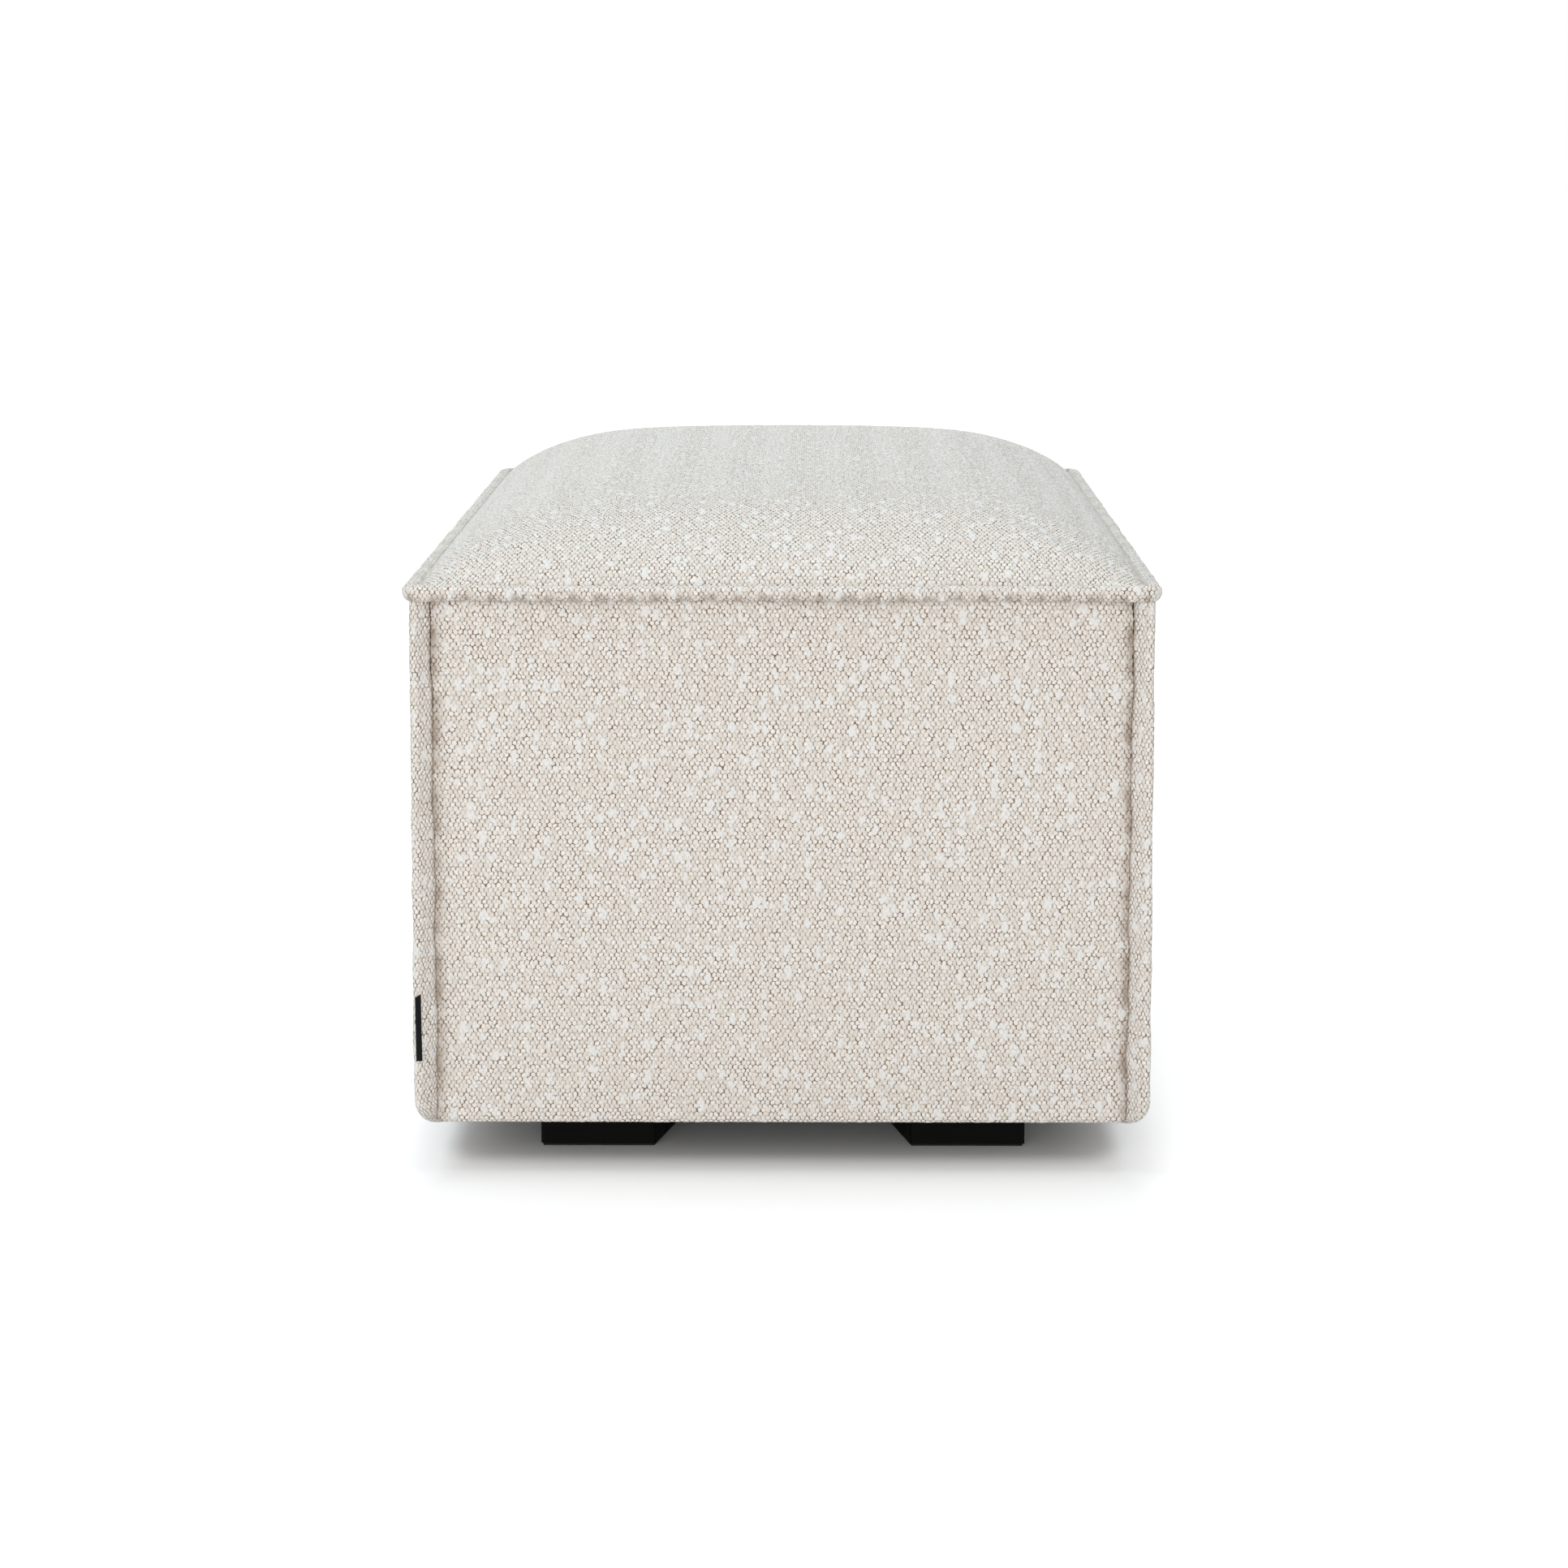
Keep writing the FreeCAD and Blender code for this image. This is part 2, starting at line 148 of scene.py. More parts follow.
def newFinish(name, look, shine=0.5, **fixed):
    # look(board) gives what varies; the rest are the shader's plain numbers
    material = bpy.data.materials.new(name)
    material.use_nodes = True
    board = Board(material.node_tree)
    sockets = {"Specular IOR Level": shine, **fixed, **look(board)}
    relief = {"Height": sockets.pop("height"), "Distance": sockets.pop("depth"), "Strength": 1.0}
    sockets["Normal"] = board.add("ShaderNodeBump", relief)
    shader = board.add("ShaderNodeBsdfPrincipled", sockets)
    board.add("ShaderNodeOutputMaterial", {"Surface": shader})
    return material


def varied(colour, roughness, height, depth):
    return {"Base Color": colour, "Roughness": roughness, "height": height, "depth": depth}


def flecked(finish):
    # one noise drives colour, roughness and relief
    def look(board):
        fleck = board.grain(board.place(), finish["fleck"], finish["detail"])
        least, more = finish["rough"]
        colour = board.colour(fleck, *finish["colours"])
        return varied(colour, least + fleck * more, fleck, finish["relief"])

    return look


def newPiece(name, points, edges, faces):
    mesh = bpy.data.meshes.new(name)
    mesh.from_pydata(points, edges, faces)
    piece = bpy.data.objects.new(name, mesh)
    scene.collection.objects.link(piece)
    return piece


def pointsOf(mesh):
    values = np.zeros(len(mesh.vertices) * 3)
    mesh.vertices.foreach_get("co", values)
    return values.reshape(-1, 3)


# pebbly loop yarn: one pattern gives the relief in the mesh and the colour on it
boucle = {
    "across": 0.00352,  # between nubs in a row
    "down": 0.00583,  # two staggered rows
    "nubRadius": 0.00189,
    "nubLeast": 0.92,  # the smallest nub's share of the radius
    "nubSpread": 0.2,
    "nubSunk": 0.4,  # share of a nub below the cloth's surface
    "nubMeet": 0.02,
    "nubHeight": 0.0006,
    "stray": (0.16, 0.10, 0.0),
    "squeeze": (1.03, 0.94, 0.0),  # nubs stand a little taller than wide
    "secondGrid": 40,
    "sway": 130.0,
    "drift": 0.0023,
    "slubPitch": 0.0092,
    "slubSqueeze": (1.2, 0.8, 1.0),
    "slubDrift": 3,
    "slubReach": 0.50,
    "slubRare": 0.06,
    "slubSoft": 0.10,
    "slubHeight": 0.0004,
    "slubCover": 0.85,
    "fibre": 2400.0,
    "fray": 0.2,
    "gapLow": -0.02,
    "gapHigh": 0.47,
    # painted shade in seams and creases: how much of its tan colour is laid on
    "seamShadeCover": 0.85,
    "fineRelief": 0.0009,
    "cream": rgb(0.93, 0.89, 0.84),
    "oat": rgb(0.77, 0.71, 0.645),
    "pale": rgb(0.81, 0.80, 0.783),
    "gap": rgb(0.215, 0.122, 0.063),
    # the colour of the painted shade in seams and creases
    "tan": rgb(0.26, 0.168, 0.10),
}


def yarn(board, weave, sizes):
    # nubs from 0 to 1, the tone of each, and where a slub lies
    sway = board.noise(weave, boucle["sway"], 1.0, space="2D", out=1)
    moved = board.vector("ADD", weave, board.scaled(sway, sizes["drift"]))
    grid = board.add("ShaderNodeCombineXYZ", {0: sizes["across"], 1: sizes["down"], 2: 1.0})
    domes, tones = [], []
    # two grids of nubs, one half a step over from the other, each nub a bit out of place
    for shift in (0.0, 0.5):
        place = board.vector("DIVIDE", moved, grid)
        place = board.vector("ADD", place, (shift, shift, shift * boucle["secondGrid"]))
        cell = {"Vector": board.vector("FLOOR", place)}
        roll = board.add("ShaderNodeTexWhiteNoise", cell, 1, noise_dimensions="3D")
        off = board.vector("SUBTRACT", board.vector("FRACTION", place), (0.5, 0.5, 0.0))
        aside = board.vector("SUBTRACT", roll, (0.5, 0.5, 0.5))
        off = board.vector("SUBTRACT", off, board.vector("MULTIPLY", aside, boucle["stray"]))
        off = board.vector("MULTIPLY", board.vector("MULTIPLY", off, grid), boucle["squeeze"])
        tone = board.axis(roll, 2)
        reach = (boucle["nubLeast"] + tone * boucle["nubSpread"]) * boucle["nubRadius"]
        domes.append(1 - (board.vector("LENGTH", off, out=1) / reach) ** 2)
        tones.append(tone)
    nub = board.larger(board.larger(domes[0], domes[1]), 0.0)
    second = board.step(domes[1] - domes[0], -boucle["nubMeet"], boucle["nubMeet"])
    tone = tones[0] + (tones[1] - tones[0]) * second
    # here and there a fat soft lump of yarn
    bent = board.scaled(sway, sizes["drift"] * boucle["slubDrift"])
    bent = board.vector("MULTIPLY", board.vector("ADD", weave, bent), boucle["slubSqueeze"])
    blob = board.cells(bent, 1 / sizes["slubPitch"], space="2D")
    lot = board.axis(Wire(board, blob.socket.node.outputs[1]))
    fat = lot * boucle["slubReach"] - boucle["slubRare"] - blob
    return nub, tone, board.step(fat, 0.0, boucle["slubSoft"])


def boucleLook(board):
    weave = board.add("ShaderNodeUVMap", uv_map="weave")
    seam = board.axis(board.add("ShaderNodeUVMap", uv_map="seam"))
    nub, tone, slub = yarn(board, weave, boucle)
    fibre = board.noise(weave, boucle["fibre"], space="2D")
    frayed = nub + (fibre - 0.5) * boucle["fray"]
    sunk = 1 - board.step(frayed, boucle["gapLow"], boucle["gapHigh"])
    colour = board.colour(tone, boucle["cream"], boucle["oat"])
    colour = board.colour(slub * boucle["slubCover"], colour, boucle["pale"])
    colour = board.colour(sunk * (1 - slub * 0.7), colour, boucle["gap"])
    # painted shade: seams and creases coloured tan, from the seam map
    colour = board.colour(seam * boucle["seamShadeCover"], colour, boucle["tan"])
    lumps = nub * (1 - slub * 0.75) + slub * 0.8 + fibre * 0.1
    return varied(colour, 0.9 + fibre * 0.1, lumps, boucle["fineRelief"])


boucleFinish = newFinish(
    "loop_yarn_cloth",
    boucleLook,
    shine=0.1,
    **{"Sheen Weight": 0.35, "Sheen Roughness": 0.45, "Sheen Tint": rgb(0.93, 0.97, 1.0)},
)


def newTree(name, inputs):
    # a tree that makes shapes, with named sizes, and its board
    tree = bpy.data.node_groups.new(name, "GeometryNodeTree")
    tree.interface.new_socket("Geometry", in_out="OUTPUT", socket_type="NodeSocketGeometry")
    for label, kind in {"Geometry": "Geometry", **inputs}.items():
        tree.interface.new_socket(label, in_out="INPUT", socket_type="NodeSocket" + kind)
    board = Board(tree)
    entry = tree.nodes.new("NodeGroupInput")
    given = {socket.name: Wire(board, socket) for socket in entry.outputs if socket.name}
    return tree, board, given


def endTree(board, geometryWire, materialWire):
    whole = board.add("GeometryNodeRealizeInstances", {"Geometry": geometryWire})
    sockets = {"Geometry": whole, "Material": materialWire}
    board.add("NodeGroupOutput", {0: board.add("GeometryNodeSetMaterial", sockets)})


def modify(piece, kind, **settings):
    modifier = piece.modifiers.new(kind.lower(), kind)
    for key, value in settings.items():
        setattr(modifier, key, value)
    return modifier


def useTree(piece, tree, values):
    modifier = modify(piece, "NODES", node_group=tree)
    for item in tree.interface.items_tree:
        if item.in_out == "INPUT" and item.name in values:
            modifier[item.identifier] = values[item.name]


def setDown(piece):
    # what the modifiers make becomes the piece's own plain mesh
    graph = bpy.context.evaluated_depsgraph_get()
    mesh = bpy.data.meshes.new_from_object(
        piece.evaluated_get(graph), preserve_all_data_layers=True, depsgraph=graph
    )
    piece.modifiers.clear()
    piece.vertex_groups.clear()
    piece.data = mesh
    mesh.shade_smooth()


reliefSizes = {
    "Nub Across": "across",
    "Nub Down": "down",
    "Nub Height": "nubHeight",
    "Slub Pitch": "slubPitch",
    "Slub Height": "slubHeight",
    "Drift": "drift",
}


def nubTree():
    inputs = dict.fromkeys(reliefSizes, "Float")
    tree, board, given = newTree("nubby_relief", dict(inputs, Material="Material"))
    sizes = {key: given[label] for label, key in reliefSizes.items()}
    named = {"Name": "weave"}
    weave = board.add("GeometryNodeInputNamedAttribute", named, data_type="FLOAT_VECTOR")
    nub, _, slub = yarn(board, weave, sizes)
    rise = (nub - boucle["nubSunk"]) * sizes["nubHeight"] * (1 - slub)
    rise = rise + slub * sizes["slubHeight"]
    offset = board.scaled(board.add("GeometryNodeInputNormal"), rise)
    sockets = {"Geometry": given["Geometry"], "Offset": offset}
    endTree(board, board.add("GeometryNodeSetPosition", sockets), given["Material"])
    return tree


reliefTree = nubTree()


def gridPiece(name, points, weave, seam=None, flip=False):
    # a sheet of quads from rows of points, with its weave in metres and how strong its painted
    # seam shade is
    rows, cols = points.shape[:2]
    index = np.arange(rows * cols).reshape(rows, cols)
    quads = np.stack([index[:-1, :-1], index[:-1, 1:], index[1:, 1:], index[1:, :-1]], -1)
    quads = quads.reshape(-1, 4)
    if flip:
        quads = quads[:, ::-1]
    piece = newPiece(name, points.reshape(-1, 3).tolist(), [], quads.tolist())
    mesh = piece.data
    corner = np.zeros(len(mesh.loops), np.int32)
    mesh.loops.foreach_get("vertex_index", corner)
    layers = {"weave": weave}
    if seam is not None:
        layers["seam"] = np.stack([seam, 0 * seam], -1)
    for label, values in layers.items():
        layer = mesh.uv_layers.new(name=label)
        layer.data.foreach_set("uv", values.reshape(-1, 2)[corner].astype(np.float32).ravel())
    mesh.shade_smooth()
    return piece


def clothSkin(piece, levels, share=1.0):
    # the yarn's relief, at a share of its height where the cloth is pulled tight
    if levels:
        finer = modify(piece, "SUBSURF", levels=levels, render_levels=levels)
        finer.boundary_smooth = "PRESERVE_CORNERS"
    values = {label: boucle[key] for label, key in reliefSizes.items()}
    values["Nub Height"] *= share
    values["Slub Height"] *= share
    values["Material"] = boucleFinish
    useTree(piece, reliefTree, values)
    setDown(piece)


# slow uneven pulls of hand-fed seams: each one's seed and its longest wave in metres
pulls = {
    "firstEdge": (10, 0.11),
    "lastEdge": (15, 0.11),
    "crease": (20, 0.055),
    "panelTop": (40, 0.06),
    "lipNose": (60, 0.16),
    "lipLevel": (70, 0.21),
    "lipNotch": (80, 0.034),
    "cornerNose": (90, 0.13),
    "cornerLean": (95, 0.24),
    # these four set where the painted seam shade is stronger or weaker
    "sideShadeWave": (100, 0.06),
    "sideShadeRipple": (105, 0.023),
    "topShadeWave": (110, 0.017),
    "lipShadeWave": (120, 0.019),
}
waves = ((1.0, 0.45), (0.43, 0.33), (0.21, 0.22))  # share of the length, share of the swing
fullTurn = 6.28


def ripple(kind, along, number):
    # from -1 to 1 along a seam
    seed, length = pulls[kind]
    draw = np.random.default_rng(seed + number)
    value = np.zeros_like(along)
    for scale, share in waves:
        phase = draw.uniform(0, fullTurn)
        value += share * np.sin(2 * math.pi * along / (length * scale) + phase)
    return value


def showing(kinds, along, number, mean, swing, least=0.0):
    # how strongly the painted shade along a seam shows along its length
    swings = sum(ripple(kind, along, number) for kind in kinds)
    return np.clip(mean + swing * swings, least, 1)


def runOver(line):
    # length run along a line of points in a plane
    return np.concatenate([[0], np.cumsum(np.hypot(*np.diff(line, axis=0).T))])


def spread(length, cell, edge):
    # distances along a run: close together at both ends, then one cell apart
    count = max(2, round((length - 2 * edge[-1]) / cell) + 1)
    inner = np.linspace(edge[-1], length - edge[-1], count)
    return np.concatenate([edge[:-1], inner, (length - np.array(edge[:-1]))[::-1]])


# crowned top: shoulders rise fast from the seam, then a slow dome
crown = {
    "seam": 0.4220,
    "over": 0.005,
    "shoulder": 0.0353,
    "dome": 0.118,
    "cell": 0.0068,
    "samples": 4001,
    "cornerRound": 0.004,
    "tuck": 0.0055,
    "tuckIn": 0.002,
    "swell": 0.004,
    "swellRun": 0.03,
    "pressure": 4.0,
    "shade": 0.3,
    "shadeRun": 0.003,
    "held": 0.004,
    "freeRun": 0.02,
}


def crownRise(x, y, halfX, halfY):
    rise = body["crownTop"] - crown["seam"]
    nearX = np.maximum(halfX - np.abs(x), 0)
    nearY = np.maximum(halfY - np.abs(y), 0)
    shoulder = (1 - np.exp(-nearX / crown["shoulder"])) * (1 - np.exp(-nearY / crown["shoulder"]))
    dome = (1 - (x / halfX) ** 2) * (1 - (y / halfY) ** 2)
    return rise * ((1 - crown["dome"]) * shoulder + crown["dome"] * dome)


def evenArc(half, profile):
    # stations of equal length over a profile
    fine = np.linspace(-half, half, crown["samples"])
    run = runOver(np.stack([fine, profile(fine)], -1))
    count = max(2, round(run[-1] / crown["cell"]))
    return np.interp(np.linspace(0, run[-1], count + 1), run, fine)


def lengthsOut(points, axis):
    # length run over the cloth from the middle line, along one way of the grid
    step = np.linalg.norm(np.diff(points, axis=axis), axis=2)
    start = [(0, 0), (0, 0)]
    start[axis] = (1, 0)
    run = np.cumsum(np.pad(step, start), axis=axis)
    count = run.shape[axis]
    middle = (run.take([count // 2], axis) + run.take([(count - 1) // 2], axis)) / 2
    return run - middle


def atSeam(distance, width):
    return np.exp(-((np.maximum(distance, 0) / width) ** 2))


def holdSeam(piece, weights, least=0.001):
    group = piece.vertex_groups.new(name="seam")
    flat = weights.ravel()
    for i in np.nonzero(flat > least)[0].tolist():
        group.add([i], float(flat[i]), "REPLACE")


def makeTop():
    halfX = body["halfX"] + crown["over"]
    halfY = body["halfY"] + crown["over"]
    xs = evenArc(halfX, lambda x: crownRise(x, 0 * x, halfX, halfY))
    ys = evenArc(halfY, lambda y: crownRise(0 * y, y, halfX, halfY))
    x, y = np.meshgrid(xs, ys)
    z = crown["seam"] + crownRise(x, y, halfX, halfY)
    # it starts a little low and is filled out from there
    inset = np.minimum(halfX - np.abs(x), halfY - np.abs(y))
    z = z - crown["swell"] * (1 - np.exp(-inset / crown["swellRun"]))
    # the four corners go round
    size = crown["cornerRound"]
    a = np.clip((np.abs(x) - halfX + size) / size, 0, 1)
    b = np.clip((np.abs(y) - halfY + size) / size, 0, 1)
    x = np.sign(x) * (np.abs(x) - size * a * (1 - np.sqrt(1 - b * b / 2)))
    y = np.sign(y) * (np.abs(y) - size * b * (1 - np.sqrt(1 - a * a / 2)))
    points = np.stack([x, y, z], -1)
    weave = np.stack([lengthsOut(points, 1), lengthsOut(points, 0)], -1)
    # a tucked row all round goes down behind the lip
    allRound = ((1, 1), (1, 1), (0, 0))
    points = np.pad(points, allRound, mode="edge")
    weave = np.pad(weave, allRound, mode="edge")
    rim = np.ones(points.shape[:2], bool)
    rim[1:-1, 1:-1] = False
    points[rim, 2] -= crown["tuck"]
    points[:, [0, -1], 0] *= 1 - crown["tuckIn"] / halfX
    points[[0, -1], :, 1] *= 1 - crown["tuckIn"] / halfY
    nearX = halfX - np.abs(points[..., 0])
    near = np.minimum(nearX, halfY - np.abs(points[..., 1]))
    # painted shade: the cloth is coloured darker in the grooves along the left and right rims
    shade = crown["shade"] * atSeam(nearX - crown["tuckIn"], crown["shadeRun"])
    piece = gridPiece("top_cushion", points, weave, shade)
    holdSeam(piece, 1 - np.clip((near - crown["held"]) / crown["freeRun"], 0, 1))
    return piece


# side panels: padded cloth between the lips, turned under the frame at the hem
panel = {
    "cell": 0.0070,
    "creaseDepth": 0.0015,
    "creaseWidth": 0.0020,
    "creaseInset": 0.0040,
    "topOver": 0.0015,
    "flare": 0.0050,
    "flareRun": 0.0070,
    "wander": 0.0011,
    "hemRound": 0.0040,
    "hemSteps": 5,
    "returnSteps": 6,
    "arcSamples": 40,
    "probe": 0.0004,
    "swell": 0.0022,
    "swellLimit": 1.6,
    "pull": 0.0004,
    "pullRun": 0.012,
    "edge": (0.0, 0.0006, 0.0015, 0.0030, 0.0055),
    "held": 0.008,
    "freeRun": 0.05,
    "freeAt": 4,
    "pressure": 3.0,
    "weaveApart": 1.7,
    "sideSeamShade": (0.0025, 0.0022),  # where its shade fades, over what length
    "sideShadeShow": (0.55, 0.5, 0.05),  # mean, swing and least
    "topSeamShade": (0.0045, 0.0035),
    "topShadeShow": (0.4, 0.9),
    "topShadeShare": 0.45,
}

sides = {}
for name, (x, y) in {"front": (0, -1), "right": (1, 0), "rear": (0, 1), "left": (-1, 0)}.items():
    sides[name] = {
        "number": len(sides),
        "out": np.array([x, y, 0.0]),
        "along": np.array([-y, x, 0.0]),
        "half": body["halfY" if x else "halfX"],
        "dist": body["halfX" if x else "halfY"],
    }


def panelProfile(stations=None):
    # from the crease under the top lip, down, round the hem and in to the return's edge
    top = body["panelTop"] + panel["topOver"]
    turn = panel["hemRound"]
    reach = body["halfX"] - body["returnEdge"]
    angle = np.linspace(0, math.pi / 2, panel["arcSamples"])
    roll = [
        (-panel["creaseDepth"] * (1 - np.sin(a)), top - panel["creaseWidth"] * (1 - np.cos(a)))
        for a in angle
    ]
    arc = [(-turn * (1 - np.cos(a)), body["hem"] + turn * (1 - np.sin(a))) for a in angle]
    line = np.array(roll + arc + [(-reach, body["hem"])])
    run = runOver(line)
    line[:, 0] += panel["flare"] * np.exp(-run / panel["flareRun"])
    if stations is None:
        start, end = run[len(roll)], run[len(roll) + len(arc) - 1]
        stations = np.concatenate(
            [
                panel["edge"][:-1],
                np.linspace(panel["edge"][-1], start, round(start / panel["cell"])),
                np.linspace(start, end, panel["hemSteps"])[1:],
                np.linspace(end, run[-1], panel["returnSteps"])[1:],
            ]
        )

    def at(distance):
        return np.array([np.interp(distance, run, column) for column in line.T])

    out, height = at(stations)
    ahead, drop = at(stations + panel["probe"]) - at(stations - panel["probe"])
    size = np.hypot(ahead, drop)
    normal = np.stack([-drop / size, ahead / size], -1)
    mitre = np.where(height > body["hem"] + turn, 0, out)
    return stations, out, height, normal, mitre


def panelWidth(name):
    return 2 * (sides[name]["half"] - panel["creaseInset"])


def panelPoints(name, stations=None, columns=None):
    side = sides[name]
    number = side["number"]
    run, out, height, normal, mitre = panelProfile(stations)
    limit = panelWidth(name) / 2
    if columns is None:
        columns = spread(2 * limit, panel["cell"], panel["edge"])
    share = columns[None, :] / (2 * limit)
    # the sewn edges wander a little
    first = (limit + mitre + panel["wander"] * ripple("firstEdge", run, number))[:, None]
    last = (limit + mitre + panel["wander"] * ripple("lastEdge", run, number))[:, None]
    across = (first + last) * share - first
    near = np.minimum(across + first, last - across)
    roll = np.clip(1 - near / panel["creaseWidth"], 0, 1)
    waver = 1 + panel["pull"] / panel["creaseDepth"] * ripple("crease", run, number)[:, None]
    dip = panel["creaseDepth"] * waver * (1 - np.sqrt(np.maximum(1 - roll**2, 0)))
    fade = np.exp(-run / panel["pullRun"])[:, None]
    shift = -dip - fade * panel["pull"] * ripple("panelTop", across, number)
    outward = side["dist"] + (out[:, None] + shift * normal[:, None, 0])
    points = side["out"] * outward[..., None] + side["along"] * across[..., None]
    points[..., 2] = height[:, None] + shift * normal[:, None, 1]
    apart = panel["weaveApart"] * number
    weave = np.stack(np.broadcast_arrays(across + apart, -run[:, None]), -1)
    return points, weave, near, run


def makePanel(name):
    side = sides[name]
    points, weave, near, run = panelPoints(name)
    below = np.broadcast_to(run[:, None], near.shape)
    hemTop = body["hem"] + panel["hemRound"]
    free = 1.0
    for distance in (near - panel["held"], below - panel["held"], points[..., 2] - hemTop):
        free = free * np.clip(distance / panel["freeRun"], 0, 1)
    points = points - side["out"] * (panel["swell"] * np.sqrt(free))[..., None]
    # painted shade along the seams, stronger in some places than in others
    number = len(name)
    uneven = showing(("sideShadeWave", "sideShadeRipple"), run, number, *panel["sideShadeShow"])
    patchy = showing(("topShadeWave",), points @ side["along"], number, *panel["topShadeShow"])
    start, width = panel["sideSeamShade"]
    sideShade = atSeam(near - start, width) * uneven[:, None]
    start, width = panel["topSeamShade"]
    topShade = atSeam(below - start, width) * patchy * panel["topShadeShare"]
    seam = np.maximum(sideShade, topShade)
    piece = gridPiece("panel_" + name, points, weave, seam, flip=True)
    holdSeam(piece, 1 - np.clip(free * panel["freeAt"], 0, 1))
    return piece


fillSteps = 20
clothSettings = {
    "use_pressure": True,
    "vertex_group_mass": "seam",
    "quality": 4,
    "tension_stiffness": 25,
    "compression_stiffness": 25,
    "bending_stiffness": 2,
}


def fillOut(jobs):
    # the sewn cover fills out against its padding, all panels in one run
    starts = {}
    for piece, pressure, _ in jobs:
        starts[piece.name] = pointsOf(piece.data)
        cloth = modify(piece, "CLOTH")
        for key, value in clothSettings.items():
            setattr(cloth.settings, key, value)
        cloth.settings.uniform_pressure_force = pressure
        cloth.settings.effector_weights.gravity = 0
        cloth.point_cache.frame_start = 1
        cloth.point_cache.frame_end = fillSteps
    for step in range(fillSteps):
        scene.frame_set(step + 1)
    graph = bpy.context.evaluated_depsgraph_get()
    for piece, _, cap in jobs:
        start = starts[piece.name]
        shift = pointsOf(piece.evaluated_get(graph).data) - start
        far = np.linalg.norm(shift, axis=1, keepdims=True)
        print(piece.name, "filled by up to", round(float(far.max()) * 1000, 1), "mm")
        held = cap * np.tanh(far / cap) / np.maximum(far, 1e-9)
        piece.modifiers.clear()
        piece.data.vertices.foreach_set("co", (start + shift * held).ravel())
        piece.data.update()
    scene.frame_set(1)


# lips: the two cloths folded out along a seam and sewn through behind the fold
lip = {
    "topCentre": 0.4191,
    "topThick": 0.0102,
    "topFat": 0.30,
    "topFatRun": 0.035,
    "topAbove": 0.75,
    "topBelow": 1.22,
    "topRoot": 0.0035,
    "topRootHalf": 0.0012,
    "topUnder": 0.0060,
    "topUnderRun": 0.7,
    "topUnderPower": 1.5,
    "topCorner": 0.0130,
    "topCornerSteps": 9,
    "topFade": 0.05,
    "cornerThick": 0.0066,
    "cornerUp": 0.0035,
    "cornerUpRun": 0.006,
    "cornerFlare": 0.0020,
    "cornerThin": 0.35,
    "step": 0.0018,
    "around": 26,
    "noseShare": 0.45,
    "straightLeast": 0.3,
    "fullAt": 1.25,
    "waver": 0.0004,
    "notch": 0.0009,
    "hemRound": 0.019,
    "rootShade": 0.0016,
    "underShadeShow": (0.32, 0.6),
    "underShadeSpan": (-4.9, 5.1),
    "weaveApart": 3.1,
    "topWeave": 0.4,
    "cornerWeave": 5.3,
    "relief": 0.45,
}


def lipSection(root, thick, length):
    # half-thickness against the way out, from one root over the nose to the other
    nose = thick / 2
    straight = max(length - nose, length * lip["straightLeast"])
    section = []
    for t in np.linspace(0, 1, lip["around"]):
        s = abs(2 * t - 1)
        if s > lip["noseShare"]:
            share = (1 - s) / (1 - lip["noseShare"])
            way = straight * share
            half = root + (nose - root) * math.sin(min(share * lip["fullAt"], 1) * math.pi / 2)
        else:
            angle = math.pi / 2 * (1 - s / lip["noseShare"])
            way = straight + (length - straight) * math.sin(angle)
            half = nose * math.cos(angle)
        section.append((way, half if t < 0.5 else -half))
    return np.array(section)


def sweep(root, nose):
    # each section's length and way out, and room for its points and weave
    length = np.linalg.norm(nose - root, axis=1)
    size = (len(root), lip["around"])
    return length, (nose - root) / length[:, None], np.zeros((*size, 3)), np.zeros((*size, 2))


def rootShade(around):
    # painted shade: the cloth is coloured darker where both roots of a lip dive into the seam
    near = np.minimum(around - around[:, :1], around[:, -1:] - around)
    return atSeam(near, lip["rootShade"])


